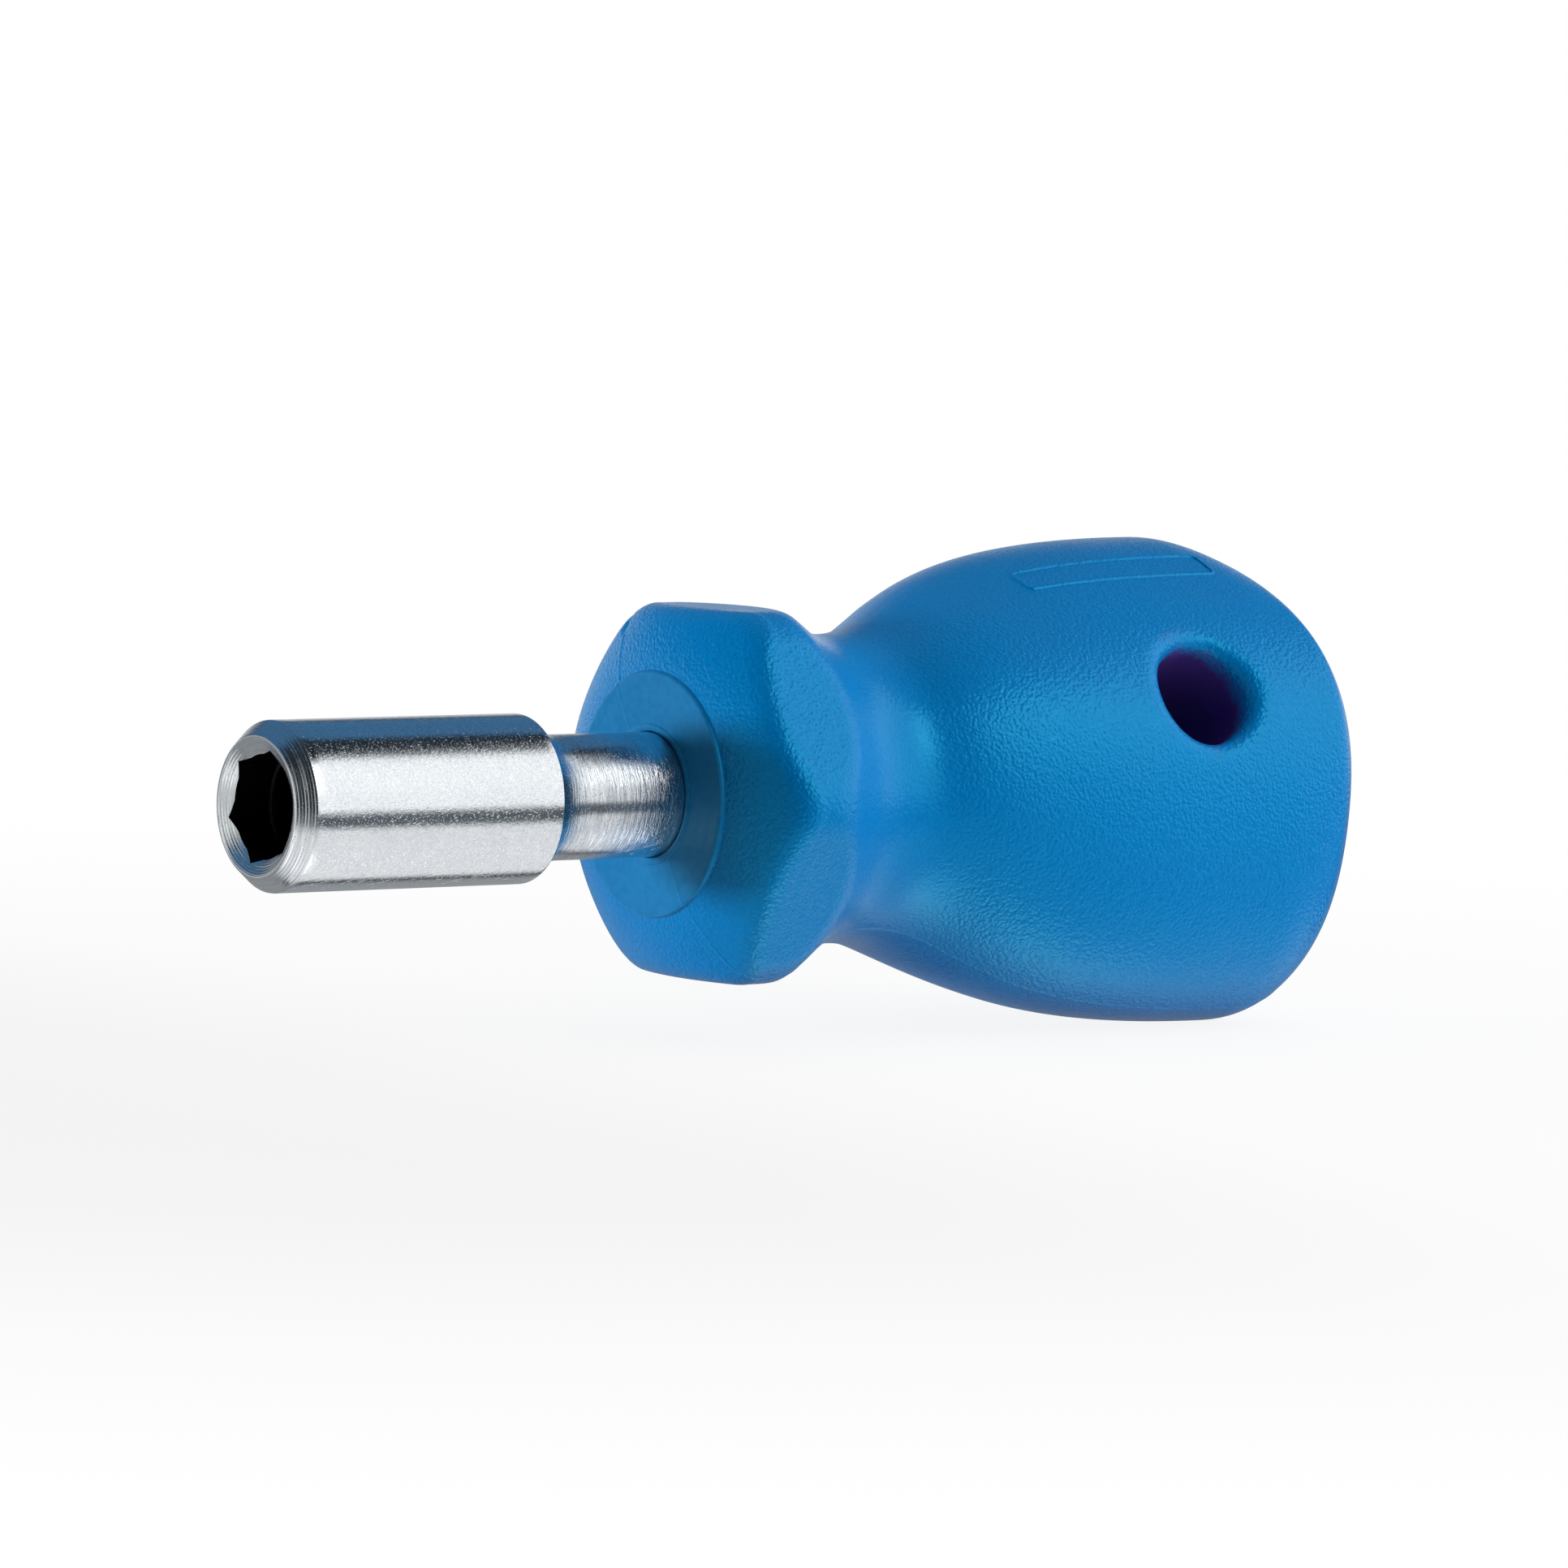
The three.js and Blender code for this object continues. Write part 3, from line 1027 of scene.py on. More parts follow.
    def flash(self, station: np.ndarray, radius: np.ndarray) -> np.ndarray:
        """Gives the height of the thin flash that stands along the parting line.

        Args:
            station: Stations of one ring.
            radius: Radii of that ring.

        Returns:
            The height at each column in millimetres.
        """
        turn = (self.angles - math.radians(self.parting_angle) + math.pi / 2) % math.pi - math.pi / 2
        off = radius * turn / self.flash_width
        short, long, shift = self.flash_waves
        waves = self.flash_uneven * np.sin(short * station) * np.sin(long * station + shift)
        uneven = 1.0 - self.flash_uneven + waves
        return self.flash_height * uneven * smoothstep(radius, *self.flash_fade) * np.exp(-(off**2))

    def nick(self, station: np.ndarray, radius: np.ndarray) -> np.ndarray:
        """Gives the depth of the small nick in the collar's rim at the parting line.

        Args:
            station: Stations of one ring.
            radius: Radii of that ring.

        Returns:
            The depth at each column in millimetres.
        """
        middle = math.radians(self.parting_angle + self.nick_turn)
        across = radius * (self.angles - middle) / self.nick_width
        along = (station - self.nick_at) / self.nick_length
        return self.nick_depth * np.exp(-(across**2)) * np.exp(-(along**2))

    def collar_radius(self) -> np.ndarray:
        """Gives the radius of the six-sided collar at each column."""
        return hexagon_radius(self.angles, self.collar_apothem, corner=self.collar_corner)

    def front_rings(self) -> list[HandleRing]:
        """Lays out the rings from the neck's hole over the disc and the front face.

        Returns:
            The rings in order.
        """
        flat = np.ones_like(self.angles)
        rings: list[HandleRing] = []
        edge = self.disc_at + self.neck_hole_edge
        for station in np.linspace(self.neck_hole_end, edge, self.neck_hole_rows):
            rings.append((station * flat, self.neck_hole_radius * flat, HandleZone.DISC, 0.0))
        for turn in np.linspace(0.0, math.pi, self.lip_rows):
            station = self.disc_at - self.lip_height * math.sin(turn)
            radius = self.neck_hole_radius + self.lip_gap + self.lip_half_width * (1 - math.cos(turn))
            rings.append((station * flat, radius * flat, HandleZone.DISC, 0.0))
        inner, outer = self.neck_hole_radius + self.disc_from_hole, self.disc_radius - self.disc_edge
        for radius in np.arange(inner, outer, self.disc_pitch):
            ripple = sum(height * math.sin(2 * math.pi * radius / pitch) for height, pitch in self.ripples)
            rings.append(((self.disc_at + ripple) * flat, radius * flat, HandleZone.DISC, 0.5))
        for t in np.linspace(0.0, 1.0, self.disc_edge_rows):
            station = self.disc_at + self.disc_edge * t**2
            radius = self.disc_radius - self.disc_edge * (1 - t) ** 2
            rings.append((station * flat, radius * flat, HandleZone.DISC, 0.5))
        width = self.collar_radius() - self.collar_rim - self.disc_radius - self.front_gap
        for t in np.linspace(0.0, 1.0, self.front_rows) ** self.front_spacing:
            radius = self.disc_radius + self.front_gap + t * width
            rings.append((self.front_station(radius), radius, HandleZone.GRIP, 1.0))
        return rings

    def side_rings(self) -> list[HandleRing]:
        """Lays out the rings from the collar's rim over its sides to the waist.

        Returns:
            The rings in order.
        """
        rings: list[HandleRing] = []
        rim = self.collar_radius()
        corner = self.front_station(rim)
        start = self.front_station(rim - self.collar_rim)
        end = corner + self.collar_rim
        for t in np.linspace(0.0, 1.0, self.collar_rim_rows)[1:]:
            station = start * (1 - t) ** 2 + 2 * corner * t * (1 - t) + end * t**2
            rings.append((station, rim - self.collar_rim * (1 - t) ** 2, HandleZone.GRIP, 1.0 - t))
        for t in np.linspace(0.0, 1.0, self.flare_rows)[1:-1]:
            station = end + t * (self.waist_at - end)
            radius = soft_min(rim, self.flare_radius(station), self.collar_crease)
            rings.append((station, np.maximum(radius, self.waist_radius), HandleZone.GRIP, 0.0))
        return rings

    def grip_stations(self) -> np.ndarray:
        """Lays out the grip's rings from the waist to just before the butt.

        Returns:
            Their stations.
        """
        rise = np.linspace(self.waist_at, self.wide_at, self.rise_rows)
        turns = np.linspace(0.0, math.pi / 2, self.heel_rows)
        heel = self.wide_at + (self.butt_at - self.wide_at) * np.sin(turns)
        return np.concatenate((rise, heel[1:-1]))

    def marked_ring(
        self, station: np.ndarray, radius: np.ndarray, zone: HandleZone, forward: float
    ) -> np.ndarray:
        """Places one ring, with the flash and the nick that the mould left on it.

        Args:
            station: Stations of the ring.
            radius: Radii of the ring.
            zone: Its finish.
            forward: Share of the flash that stands forward. The rest stands out from the side.

        Returns:
            Points in millimetres, one in each row.
        """
        flash = np.zeros_like(self.angles)
        if zone == HandleZone.GRIP or forward > 0:
            flash = self.flash(station, radius)
        cut = self.nick(station, radius)
        shifted = station - forward * flash + self.nick_push * cut * forward
        raised = radius + (1 - forward) * self.side_flash_share * flash - cut
        return place(shifted, raised, self.angles)

    def surface_depth(self, along: np.ndarray, across: np.ndarray, side: int) -> np.ndarray:
        """Finds how far along the hang hole's axis the grip's skin lies.

        Args:
            along: Distances from the hole's axis along the tool.
            across: Distances from it across the tool.
            side: 1 for the near mouth, -1 for the far one.

        Returns:
            Signed distances from the tool's axis in millimetres.
        """
        rounds, least = 12, 1e-6
        depth = np.full_like(along, self.thin_half)
        for _ in range(rounds):
            radius = self.grip_radius(self.hole_at + along, self.hole_axis + np.arctan2(across, side * depth))
            depth = np.sqrt(np.maximum(radius**2 - across**2, least))
        return side * depth

    def hole_point(self, along: np.ndarray, across: np.ndarray, depth: np.ndarray) -> np.ndarray:
        """Turns distances from the hang hole's axis into points.

        Args:
            along: Distances along the tool.
            across: Distances across it.
            depth: Distances along the hole from the tool's axis.

        Returns:
            Points in millimetres, one in each row.
        """
        angle = self.hole_axis + np.arctan2(across, depth)
        return place(self.hole_at + along, np.hypot(across, depth), angle)

    def weave_mouth(self, side: int, loop: np.ndarray) -> tuple[np.ndarray, np.ndarray, np.ndarray]:
        """Weaves one flared mouth of the hang hole, from the opening in the skin down to the bore.

        Args:
            side: 1 for the near mouth, -1 for the far one.
            loop: Point numbers round the opening.

        Returns:
            The last ring's point numbers, its distances along the hole and its angles round it.
        """
        points = np.concatenate(self.weaver.points)[loop]
        angle = np.arctan2(points[:, 2], -points[:, 1])
        along = points[:, 0] + SEAT_STATION - self.hole_at
        across = np.hypot(points[:, 1], points[:, 2]) * np.sin(angle - self.hole_axis)
        order = np.argsort(np.arctan2(across, along))
        last, along, across = loop[order], along[order], across[order]
        turns = np.arctan2(across, along)
        for t in np.linspace(0.0, 1.0, self.skirt_rows)[1:]:
            u = (1 - t) * along + t * self.mouth_radius * np.cos(turns)
            v = (1 - t) * across + t * self.mouth_radius * np.sin(turns)
            skin = self.surface_depth(u, v, side)
            last = self.weaver.grow(last, self.hole_point(u, v, skin), HandleZone.GRIP)
        edge_u, edge_v = self.mouth_radius * np.cos(turns), self.mouth_radius * np.sin(turns)
        bore_u, bore_v = self.hole_radius * np.cos(turns), self.hole_radius * np.sin(turns)
        edge = self.surface_depth(edge_u, edge_v, side)
        knee = self.surface_depth(bore_u, bore_v, side)
        floor = knee - side * self.mouth_depth
        for t in np.linspace(0.0, 1.0, self.mouth_rows)[1:]:
            left = (1 - t) ** 2
            u = edge_u * left + bore_u * (1 - left)
            v = edge_v * left + bore_v * (1 - left)
            depth = edge * left + 2 * knee * t * (1 - t) + floor * t**2
            last = self.weaver.grow(last, self.hole_point(u, v, depth), HandleZone.BORE)
        return last, floor, turns

    def weave_hole(self, loops: dict[int, np.ndarray]) -> None:
        """Weaves the hang hole between the openings left in the grip's skin.

        Args:
            loops: Point numbers round the opening at each end of the hole, under its side.
        """
        ends = {side: self.weave_mouth(side, loop) for side, loop in loops.items()}
        last, near_floor, _ = ends[1]
        far_ring, far_floor, turns = ends[-1]
        bore_u, bore_v = self.hole_radius * np.cos(turns), self.hole_radius * np.sin(turns)
        for t in np.linspace(0.0, 1.0, self.bore_rows)[1:-1]:
            depth = (1 - t) * near_floor + t * far_floor
            last = self.weaver.grow(last, self.hole_point(bore_u, bore_v, depth), HandleZone.BORE)
        self.weaver.band(last, far_ring, HandleZone.BORE)

    def column_window(self, middle: float) -> np.ndarray:
        """Finds the columns round one mouth of the hang hole.

        Args:
            middle: Angle of the mouth in degrees.

        Returns:
            The numbers of the columns, in order.
        """
        off = np.degrees(self.angles) - middle
        return np.flatnonzero(np.abs(off) < self.opening_half_angle)

    def build(self) -> bpy.types.Object:
        """Builds the handle's mesh.

        Returns:
            The finished piece.
        """
        rings = self.front_rings() + self.side_rings()
        stations = self.grip_stations()
        in_opening = np.abs(stations - self.hole_at) < self.mouth_radius + self.opening_margin
        opened = len(rings) + np.flatnonzero(in_opening)
        low, high = int(opened[0]), int(opened[-1])
        flat = np.ones_like(self.angles)
        for station in stations:
            radius = self.grip_radius(station * flat, self.angles)
            rings.append((station * flat, radius, HandleZone.GRIP, 0.0))
        near = math.degrees(self.hole_axis)
        windows = {1: self.column_window(near), -1: self.column_window(near + 180.0)}
        tip = self.weaver.add(place(self.neck_hole_end, 0.0, np.zeros(1)))
        numbers = [self.weaver.add(self.marked_ring(*ring)) for ring in rings]
        butt = self.weaver.add(place(self.butt_at, 0.0, np.zeros(1)))
        self.weaver.fan(tip[0], numbers[0], HandleZone.DISC)
        for row in range(len(rings) - 1):
            skipped = np.zeros(len(self.angles), dtype=bool)
            if low <= row < high:
                for window in windows.values():
                    skipped[window[:-1]] = True
            self.weaver.band(numbers[row], numbers[row + 1], rings[row + 1][2], skipped)
        self.weaver.fan(butt[0], numbers[-1], HandleZone.GRIP)
        loops = {}
        for side, window in windows.items():
            sides = [numbers[row][window[[0, -1]]] for row in range(low + 1, high)]
            loops[side] = np.concatenate((numbers[low][window], numbers[high][window], *sides))
        self.weave_hole(loops)
        return self.weaver.make("moulded_handle", self.finishes(), self.crease)

    def plate_outline(self) -> np.ndarray:
        """Lays out the plate's outline with round corners.

        Returns:
            Distances along and across the tool from the plate's middle, one point in each row.
        """
        corner = self.plate_corner
        reach_along, reach_across = 0.5 * self.plate_length - corner, 0.5 * self.plate_width - corner
        path: list[Span] = []
        for quarter, (along, across) in enumerate(((1, 1), (-1, 1), (-1, -1), (1, -1))):
            for turn in np.radians(np.linspace(90.0 * quarter, 90.0 * quarter + 90.0, self.corner_steps)):
                u = along * reach_along + corner * math.cos(turn)
                v = across * reach_across + corner * math.sin(turn)
                path.append((u, v))
        line = np.array(path + path[:1])
        reach = np.concatenate(((0.0,), np.cumsum(np.hypot(*np.diff(line, axis=0).T))))
        steps = np.linspace(0.0, reach[-1], self.border_steps, endpoint=False)
        return np.stack([np.interp(steps, reach, line[:, part]) for part in range(2)], axis=-1)

    def build_plate_border(self) -> bpy.types.Object:
        """Builds the thin raised border of the blank plate on top of the grip.

        Returns:
            The finished piece.
        """
        line = self.plate_outline()
        ahead = np.roll(line, -1, axis=0) - np.roll(line, 1, axis=0)
        out = np.stack((ahead[:, 1], -ahead[:, 0]), axis=-1) / np.hypot(ahead[:, 0], ahead[:, 1])[:, None]
        weaver = Weaver()
        rows = []
        for offset, height in self.border_profile:
            spot = line + out * offset * 0.5 * self.plate_line
            station = self.plate_at + spot[:, 0]
            angle = math.radians(self.plate_angle) + spot[:, 1] / self.plate_skin_radius
            rows.append(weaver.add(place(station, self.grip_radius(station, angle) + height, angle)))
        for near, far in zip(rows, rows[1:] + rows[:1]):
            weaver.band(near, far, HandleZone.GRIP)
        grip = bpy.data.objects["moulded_handle"].data.materials[HandleZone.GRIP]
        return weaver.make("blank_plate_border", [grip], self.border_crease)


@dataclass
class BitHolder:
    """The turned steel bit holder: a barrel with a hexagon socket on a thinner neck."""

    groups: SurfaceGroups

    # Neck, and the fillet that joins it to the barrel
    neck_radius: float = 4.004
    neck_end: float = 32.6
    neck_rows: int = 24
    fillet_length: float = 2.8
    fillet_height: float = 1.14
    fillet_rows: int = 15

    # Barrel: its rows keep a margin to the broken rear edge and to the chamfer
    barrel_radius: float = 5.404
    barrel_length: float = 19.75
    barrel_margins: Span = (0.4, 0.12)
    barrel_rows: int = 26
    rear_break: float = 0.25
    rear_break_rows: int = 6

    # Chamfer and front rim, whose points are given by station and distance from the rim's edge
    chamfer_length: float = 1.14
    chamfer_margin: float = 0.03
    chamfer_rows: int = 62
    rim_radius: float = 4.484
    rim_points: tuple[Span, ...] = ((0.012, 0.02), (0.0, 0.05), (0.0, 0.1), (0.01, 0.14))

    # Countersunk socket, and the spring's groove: its start, its end and its radius
    sink_radius: float = 4.324
    sink_half_angle: float = 60.0
    sink_rows: int = 36
    sink_start: float = 0.02
    socket_apothem: float = 3.225
    socket_turn: float = 14.5
    socket_depth: float = 12.0
    socket_rows: int = 8
    socket_mouth_shares: tuple[float, ...] = (0.03, 0.1, 0.3, 0.65, 1.0)
    groove: Triple = (2.95, 4.25, 4.354)
    pilot_radius: float = 3.3
    pilot_edge: float = 0.005
    pilot_end: float = 15.3

    # Marks of the turning tool, which beat slowly and fade at the edges of a cut
    turned_pitch: float = 0.2
    turned_depth: float = 0.011
    turned_beat: float = 0.3
    turned_beat_pitch: float = 0.61
    turned_beat_shift: float = 0.8
    turned_run_in: float = 0.2
    turned_run_out: int = 6

    # Fineness and shading of the mesh
    columns: int = 240
    crease: float = 32.0

    def finishes(self) -> list[bpy.types.Material]:
        """Makes the holder's materials.

        Returns:
            The materials in the order of the holder's zones.
        """
        barrel = SteelFinish(
            name="bright_plated_steel",
            colour=(0.84, 0.85, 0.86),
            dull_colour=(0.7, 0.72, 0.74),
            roughness=(0.06, 0.14),
            lines=(4.2, 4.8, 4.8),
            line_depth=0.009,
            scratch_depth=0.006,
        )
        neck = SteelFinish(
            name="brushed_neck_steel",
            colour=(0.76, 0.77, 0.78),
            dull_colour=(0.55, 0.57, 0.59),
            roughness=(0.13, 0.24),
            lines=(3.9, 0.55, 0.55),
            line_depth=0.03,
            scratch_depth=0.006,
        )
        turned = SteelFinish(
            name="turned_bright_steel",
            colour=(0.8, 0.81, 0.82),
            dull_colour=(0.6, 0.62, 0.64),
            roughness=(0.18, 0.32),
            lines=(8.0, 0.2, 0.2),
            line_depth=0.002,
            scratch_depth=0.003,
        )
        # Painted shade: the socket's walls get a nearly black colour for the dark inside of the socket.
        socket = SteelFinish(
            name="socket_steel_painted_shade",
            colour=(0.035, 0.036, 0.038),
            dull_colour=(0.012, 0.012, 0.013),
            roughness=(0.35, 0.55),
            lines=(0.25, 7.0, 7.0),
            line_depth=0.006,
            scratch_depth=0.003,
        )
        return [finish.material(self.groups) for finish in (barrel, neck, turned, socket)]

    def tool_marks(self, distance: np.ndarray) -> np.ndarray:
        """Gives the depth of the grooves that the turning tool left.

        Args:
            distance: Distances along the cut in millimetres.

        Returns:
            The depths in millimetres.
        """
        wave = np.sin(2 * math.pi * distance / self.turned_beat_pitch + self.turned_beat_shift)
        beat = 1.0 - self.turned_beat + self.turned_beat * wave
        return self.turned_depth * beat * np.sin(2 * math.pi * distance / self.turned_pitch)

    def outer_rings(self, angles: np.ndarray) -> list[HolderRing]:
        """Lays out the rings from the end of the neck to the front rim.

        Args:
            angles: Angles of the columns in radians.

        Returns:
            The rings in order.
        """
        flat = np.ones_like(angles)
        rings: list[HolderRing] = []
        fillet_end = self.barrel_length + self.fillet_length
        for station in np.linspace(self.neck_end, fillet_end, self.neck_rows):
            rings.append((station * flat, self.neck_radius * flat, HolderZone.NECK))
        for turn in np.linspace(0.0, math.pi / 2, self.fillet_rows)[1:]:
            station = fillet_end - self.fillet_length * math.sin(turn)
            radius = self.neck_radius + self.fillet_height * (1 - math.cos(turn))
            rings.append((station * flat, radius * flat, HolderZone.NECK))
        for t in np.linspace(0.0, 1.0, self.rear_break_rows):
            station = self.barrel_length - self.rear_break * t**2
            radius = self.barrel_radius - self.rear_break * (1 - t) ** 2
            rings.append((station * flat, radius * flat, HolderZone.BARREL))
        rear_margin, front_margin = self.barrel_margins
        rear = self.barrel_length - self.rear_break - rear_margin
        for station in np.linspace(rear, self.chamfer_length + front_margin, self.barrel_rows):
            rings.append((station * flat, self.barrel_radius * flat, HolderZone.BARREL))
        slant = math.hypot(self.chamfer_length, self.barrel_radius - self.rim_radius)
        along = np.array((-self.chamfer_length, self.rim_radius - self.barrel_radius)) / slant
        for distance in np.linspace(self.chamfer_margin, slant - self.chamfer_margin, self.chamfer_rows):
            depth = self.tool_marks(distance) * smoothstep(distance, 0.0, self.turned_run_in)
            station = self.chamfer_length + along[0] * distance - along[1] * depth
            radius = self.barrel_radius + along[1] * distance + along[0] * depth
            rings.append((station * flat, radius * flat, HolderZone.TURNED))
        for station, inset in self.rim_points:
            rings.append((station * flat, (self.rim_radius - inset) * flat, HolderZone.TURNED))
        return rings

    def inner_rings(self, angles: np.ndarray) -> list[HolderRing]:
        """Lays out the rings from the countersink to the end of the pilot bore.

        Args:
            angles: Angles of the columns in radians.

        Returns:
            The rings in order.
        """
        flat = np.ones_like(angles)
        rings: list[HolderRing] = []
        hexagon = hexagon_radius(angles, self.socket_apothem, turn=self.socket_turn)
        wall = np.maximum(hexagon, self.pilot_radius)
        half_angle = math.radians(self.sink_half_angle)
        slope = math.tan(half_angle)
        for t in np.linspace(self.sink_start, 1.0, self.sink_rows):
            radius = self.sink_radius + t * (wall - self.sink_radius)
            marks = self.tool_marks((self.sink_radius - radius) / math.sin(half_angle))
            station = (self.sink_radius - radius) / slope + marks * (1 - t**self.turned_run_out)
            rings.append((station, radius, HolderZone.TURNED))
        mouth = (self.sink_radius - wall) / slope
        groove_from, groove_to, groove_radius = self.groove
        for t in self.socket_mouth_shares:
            rings.append((mouth + t * (groove_from - mouth), wall, HolderZone.SOCKET))
        for station in (groove_from, groove_to):
            rings.append((station * flat, groove_radius * flat, HolderZone.SOCKET))
        for station in np.linspace(groove_to, self.socket_depth, self.socket_rows):
            rings.append((station * flat, wall, HolderZone.SOCKET))
        for station in (self.socket_depth + self.pilot_edge, self.pilot_end):
            rings.append((station * flat, self.pilot_radius * flat, HolderZone.SOCKET))
        return rings

    def build(self) -> bpy.types.Object:
        """Builds the holder's mesh.

        Returns:
            The finished piece.
        """
        angles = np.radians(self.socket_turn + np.arange(self.columns) * 360.0 / self.columns)
        weaver = Weaver()
        rings = self.outer_rings(angles) + self.inner_rings(angles)
        back = weaver.add(place(self.neck_end, 0.0, np.zeros(1)))
        numbers = [weaver.add(place(station, radius, angles)) for station, radius, _ in rings]
        floor = weaver.add(place(self.pilot_end, 0.0, np.zeros(1)))
        weaver.fan(back[0], numbers[0], HolderZone.NECK)
        for row in range(len(rings) - 1):
            weaver.band(numbers[row], numbers[row + 1], rings[row + 1][2])
        weaver.fan(floor[0], numbers[-1], HolderZone.SOCKET)
        return weaver.make("turned_bit_holder", self.finishes(), self.crease)


@dataclass
class SocketFittings:
    """The magnet and the spring ring in the socket, which keep their solids and get finishes."""

    groups: SurfaceGroups

    def dress(self, nodes: dict[str, bpy.types.Object]) -> None:
        """Gives both nodes their materials.

        Args:
            nodes: The loaded nodes under their names.
        """
        # Painted shade: the magnet deep in the socket gets a dark colour, far below bright nickel.
        magnet = SteelFinish(
            name="nickel_magnet_painted_shade",
            colour=(0.16, 0.16, 0.165),
            dull_colour=(0.09, 0.09, 0.095),
            roughness=(0.25, 0.45),
            lines=(0.4, 6.0, 0.5),
            line_depth=0.004,
            scratch_depth=0.004,
        )
        spring = SteelFinish(
            name="drawn_spring_wire",
            colour=(0.02, 0.02, 0.021),
            dull_colour=(0.01, 0.01, 0.011),
            roughness=(0.35, 0.5),
            lines=(9.0, 0.4, 0.4),
            line_depth=0.003,
            scratch_depth=0.003,
        )
        for name, finish in (("socket_magnet", magnet), ("retaining_ring", spring)):
            mesh = nodes[name].data
            material = finish.material(self.groups)
            if mesh.materials:
                mesh.materials[0] = material
            else:
                mesh.materials.append(material)
            LOG.info("dressed %s", name)


# Studio


@dataclass(frozen=True)
class GlossPanel:
    """One part of the room that shows in the gloss.

    Each of its limits is an axis, the value where the panel starts and the value from which it is full.
    """

    colour: Colour
    limits: tuple[tuple[Axis, float, float], ...]

    def light(self, board: NodeBoard, direction: bpy.types.Node) -> bpy.types.NodeSocket:
        """Adds the nodes of the panel.

        Args:
            board: Board of the world.
            direction: Node that parts the direction.

        Returns:
            The socket of its colour, black outside the panel.
        """
        share: object = 1.0
        for axis, start, full in self.limits:
            within = board.remap(direction.outputs[int(axis)], (start, full), RISE)
            share = board.math("MULTIPLY", share, within)
        return board.blend(share, BLACK, self.colour)


@dataclass(frozen=True)
class Softbox:
    """One lamp that faces the tool and stays out of the gloss, which shows the room's panels."""

    name: str
    direction: Triple
    distance: float
    size: Span
    radiance: float

    def hang(self, aim: Triple) -> None:
        """Hangs the lamp.

        Args:
            aim: Point that it faces, and that its direction and distance start from.
        """
        lamp = bpy.data.lights.new(self.name, "AREA")
        lamp.shape = "RECTANGLE"
        lamp.size, lamp.size_y = self.size
        lamp.energy = self.radiance * math.pi * self.size[0] * self.size[1]
        softbox = bpy.data.objects.new(self.name, lamp)
        away = Vector(self.direction).normalized()
        softbox.location = Vector(aim) + away * self.distance
        softbox.rotation_euler = away.to_track_quat("Z", "Y").to_euler()
        softbox.visible_camera = False
        softbox.visible_glossy = False
        bpy.context.scene.collection.objects.link(softbox)


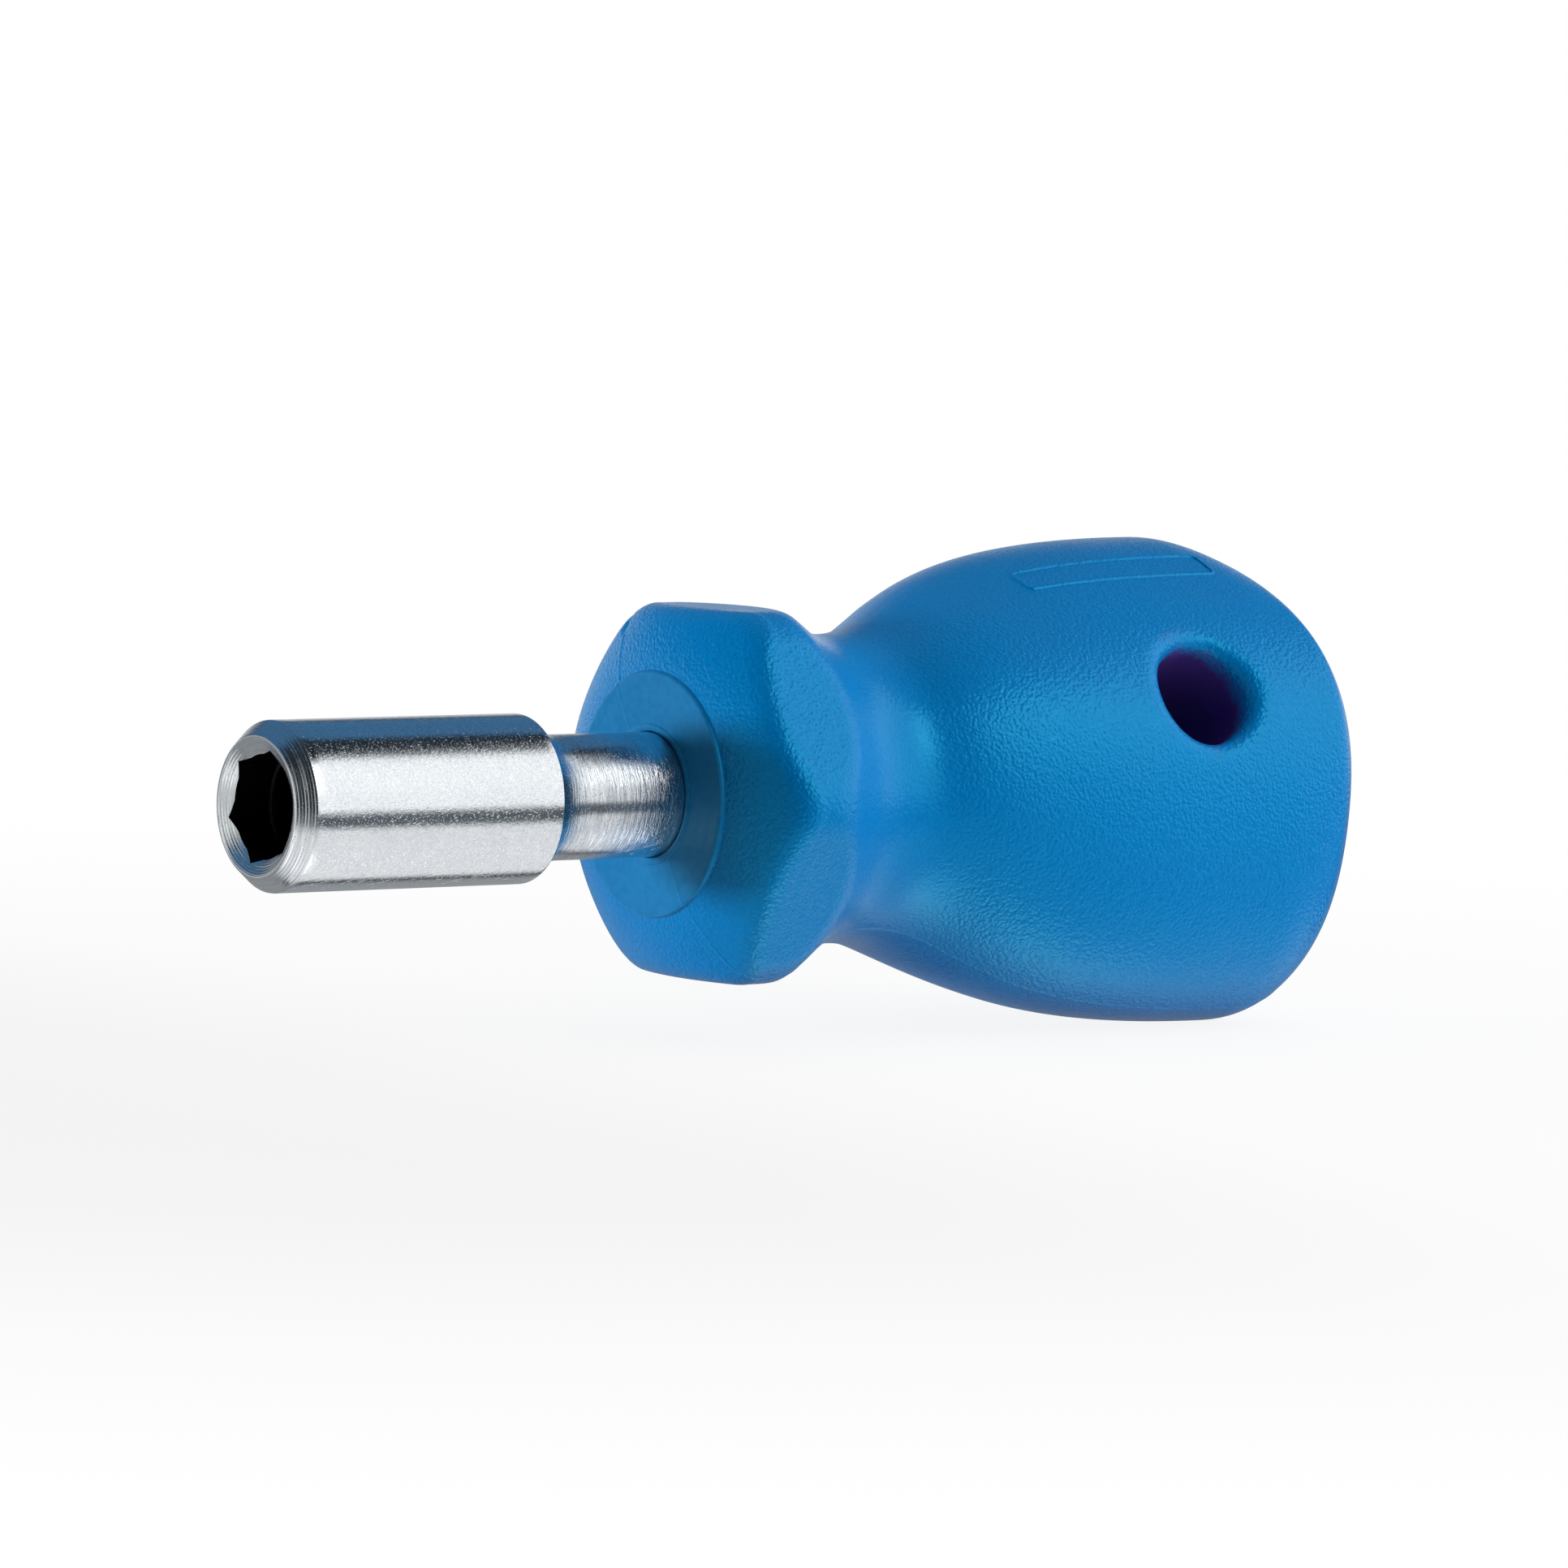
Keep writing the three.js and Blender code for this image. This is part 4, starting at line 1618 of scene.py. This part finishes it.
@dataclass
class Studio:
    """The floor, the lights, the surroundings and the camera."""

    floor_height: float

    # Floor: its paint from left to right, dark on the left as painted shade that keeps bounced light off the
    # tool's front, and the share of plain white that the camera sees by distance
    floor_half: float = 4.0
    shade_paint_left: float = 0.16
    paint_right: float = 0.9
    paint_span: Span = (-0.035, 0.035)
    white_shares: Span = (0.88, 1.0)
    white_span: Span = (0.05, 0.2)

    # Camera
    eye: Triple = (-0.340822, -0.505277, 0.04927)
    right: Triple = (0.808185, -0.588417, 0.024559)
    up: Triple = (0.026057, 0.077386, 0.996661)
    forward: Triple = (0.588352, 0.804846, -0.077875)
    lens: float = 223.6
    sensor: float = 36.0
    clip_start: float = 0.05

    # Lamps: a key on the right, a low fill under it and a strong small one on the left behind the tool
    lamp_aim: Triple = (0.03, 0.0, 0.0)
    softboxes: tuple[Softbox, ...] = (
        Softbox("key_softbox", (0.62, -0.72, 0.32), distance=0.75, size=(1.0, 0.8), radiance=0.8),
        Softbox("low_fill", (0.5, -0.85, 0.1), distance=0.6, size=(0.6, 0.3), radiance=1.6),
        Softbox("left_softbox", (-0.87, 0.49, 0.03), distance=0.7, size=(0.3, 0.12), radiance=46.0),
    )

    # Fill from the surroundings, which grows from the left to the right
    fill_left: float = 0.03
    fill_right: float = 1.1
    fill_span: Span = (-0.6, 0.35)

    # The room that shows in the gloss
    room_tint: Colour = (0.014, 0.022, 0.03)
    panels: tuple[GlossPanel, ...] = (
        # Pale wall on the camera's side
        GlossPanel(
            (1.06, 1.08, 1.09),
            ((Axis.X, -0.12, 0.2), (Axis.Y, 0.12, -0.08), (Axis.Z, -0.14, -0.05), (Axis.Z, 0.8, 0.765)),
        ),
        # Dark gap between that wall and the floor
        GlossPanel(
            (0.09, 0.1, 0.11),
            ((Axis.Y, 0.15, -0.1), (Axis.Z, -0.05, -0.12), (Axis.Z, -0.41, -0.37)),
        ),
        # Pale floor in front of the tool and under it
        GlossPanel((0.86, 0.87, 0.88), ((Axis.Y, 0.38, 0.3), (Axis.Z, -0.35, -0.41))),
        # Floor behind the tool, in shade
        GlossPanel((0.3, 0.31, 0.32), ((Axis.Y, 0.42, 0.5), (Axis.Z, -0.05, -0.2))),
        # Backdrop, and a dim blue above it
        GlossPanel(
            (0.62, 0.64, 0.66),
            ((Axis.Y, -0.02, 0.25), (Axis.Z, -0.1, -0.03), (Axis.Z, 0.36, 0.16)),
        ),
        GlossPanel((0.035, 0.13, 0.27), ((Axis.Y, 0.14, 0.24), (Axis.Z, 0.3, 0.45))),
        # Pale card in front of the socket
        GlossPanel((0.6, 0.62, 0.6), ((Axis.X, -0.8, -0.92),)),
        # Bright cores of an upper and a lower lamp
        GlossPanel(
            (3.3, 3.3, 3.3),
            (
                (Axis.X, -0.1, 0.2),
                (Axis.X, 0.5, 0.34),
                (Axis.Y, -0.4, -0.6),
                (Axis.Z, 0.25, 0.5),
                (Axis.Z, 0.86, 0.7),
            ),
        ),
        GlossPanel(
            (2.4, 2.4, 2.4),
            ((Axis.X, -0.3, 0.0), (Axis.X, 0.5, 0.35), (Axis.Y, 0.1, -0.2), (Axis.Z, -0.72, -0.92)),
        ),
    )

    def build(self) -> None:
        """Builds all of it."""
        self.build_floor()
        self.build_world()
        for softbox in self.softboxes:
            softbox.hang(self.lamp_aim)
        self.build_camera()
        bpy.context.scene.view_settings.view_transform = "Standard"

    def build_floor(self) -> None:
        """Builds the floor, which shows nearly white to the camera and keeps a soft shadow. Its paint is dark
        on the left as painted shade that keeps bounced light off the tool's front.
        """
        mesh = bpy.data.meshes.new("pale_floor")
        half = self.floor_half
        outline = [(-half, -half, 0.0), (half, -half, 0.0), (half, half, 0.0), (-half, half, 0.0)]
        mesh.from_pydata(outline, [], [(0, 1, 2, 3)])
        floor = bpy.data.objects.new("pale_floor", mesh)
        floor.location.z = self.floor_height
        floor.visible_glossy = False
        bpy.context.scene.collection.objects.link(floor)
        material = bpy.data.materials.new("pale_floor")
        material.use_nodes = True
        board = NodeBoard(material.node_tree)
        where = board.add("TexCoord").outputs["Object"]
        # Painted shade: the floor is dark left of the tool, so little light bounces up onto the collar's
        # front.
        rightwards = board.remap(board.parts(where).outputs["X"], self.paint_span, RISE)
        paint = board.add("BsdfDiffuse")
        tone = board.blend(rightwards, (self.shade_paint_left,) * 3, (self.paint_right,) * 3)
        board.feed(paint.inputs["Color"], tone)
        white = board.add("Emission")
        board.feed(white.inputs["Color"], (*WHITE, 1.0))
        away = board.add("VectorMath", operation="LENGTH")
        board.feed(away.inputs[0], where)
        share = board.remap(away.outputs["Value"], self.white_span, self.white_shares)
        seen = board.add("LightPath").outputs["Is Camera Ray"]
        mix = board.add("MixShader")
        board.feed(mix.inputs[0], board.math("MULTIPLY", seen, share))
        board.feed(mix.inputs[1], paint.outputs[0])
        board.feed(mix.inputs[2], white.outputs[0])
        output = board.add("OutputMaterial")
        board.feed(output.inputs["Surface"], mix.outputs[0])
        mesh.materials.append(material)
        floor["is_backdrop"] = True

    def build_world(self) -> None:
        """Builds the surroundings: white to the camera, a room to the gloss and a soft fill to the rest."""
        world = bpy.data.worlds.new("white_studio")
        bpy.context.scene.world = world
        world.use_nodes = True
        board = NodeBoard(world.node_tree)
        direction = board.parts(board.add("TexCoord").outputs["Generated"])
        room: object = self.room_tint
        for panel in self.panels:
            room = board.blend(1.0, room, panel.light(board, direction), way="ADD")
        rightwards = board.remap(direction.outputs["X"], self.fill_span, RISE)
        fill = board.blend(rightwards, (self.fill_left,) * 3, (self.fill_right,) * 3)
        path = board.add("LightPath")
        light = board.blend(path.outputs["Is Glossy Ray"], fill, room)
        background = board.add("Background")
        board.feed(background.inputs["Color"], board.blend(path.outputs["Is Camera Ray"], light, WHITE))
        output = board.add("OutputWorld")
        board.feed(output.inputs["Surface"], background.outputs[0])

    def build_camera(self) -> None:
        """Places the camera at the photograph's viewing angle."""
        data = bpy.data.cameras.new("studio_camera")
        data.sensor_width = self.sensor
        data.sensor_height = self.sensor
        data.sensor_fit = "HORIZONTAL"
        data.lens = self.lens
        data.clip_start = self.clip_start
        camera = bpy.data.objects.new("studio_camera", data)
        axes = Matrix((self.right, self.up, tuple(-part for part in self.forward))).transposed()
        camera.matrix_world = Matrix.Translation(self.eye) @ axes.to_4x4()
        bpy.context.scene.collection.objects.link(camera)
        bpy.context.scene.camera = camera


def settle(piece: bpy.types.Object, node: str | None = None) -> None:
    """Fixes a piece to the tool's one body.

    Args:
        piece: The piece.
        node: Name of the node that it stands for, where it does.
    """
    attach(piece, "root")
    if node:
        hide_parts(node)
    LOG.info("built %s: %d faces", piece.name, len(piece.data.polygons))


def corners(box: Sequence[Sequence[float]]) -> list[list[float]]:
    """Turns a box into plain lists of numbers."""
    return [[float(part) for part in corner] for corner in box]


def main() -> None:
    """Builds and dresses the tool, then the studio."""
    logging.basicConfig(level=logging.INFO, format="%(name)s: %(message)s")
    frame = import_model()
    cad_box = corners(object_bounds())
    groups = SurfaceGroups.build()
    handle = Handle(groups)
    settle(handle.build(), "handle")
    settle(handle.build_plate_border())
    settle(BitHolder(groups).build(), "bit_holder")
    SocketFittings(groups).dress(frame["nodes"])
    Studio(floor_height=cad_box[0][2] - FLOOR_GAP).build()


if __name__ == "__main__":
    main()
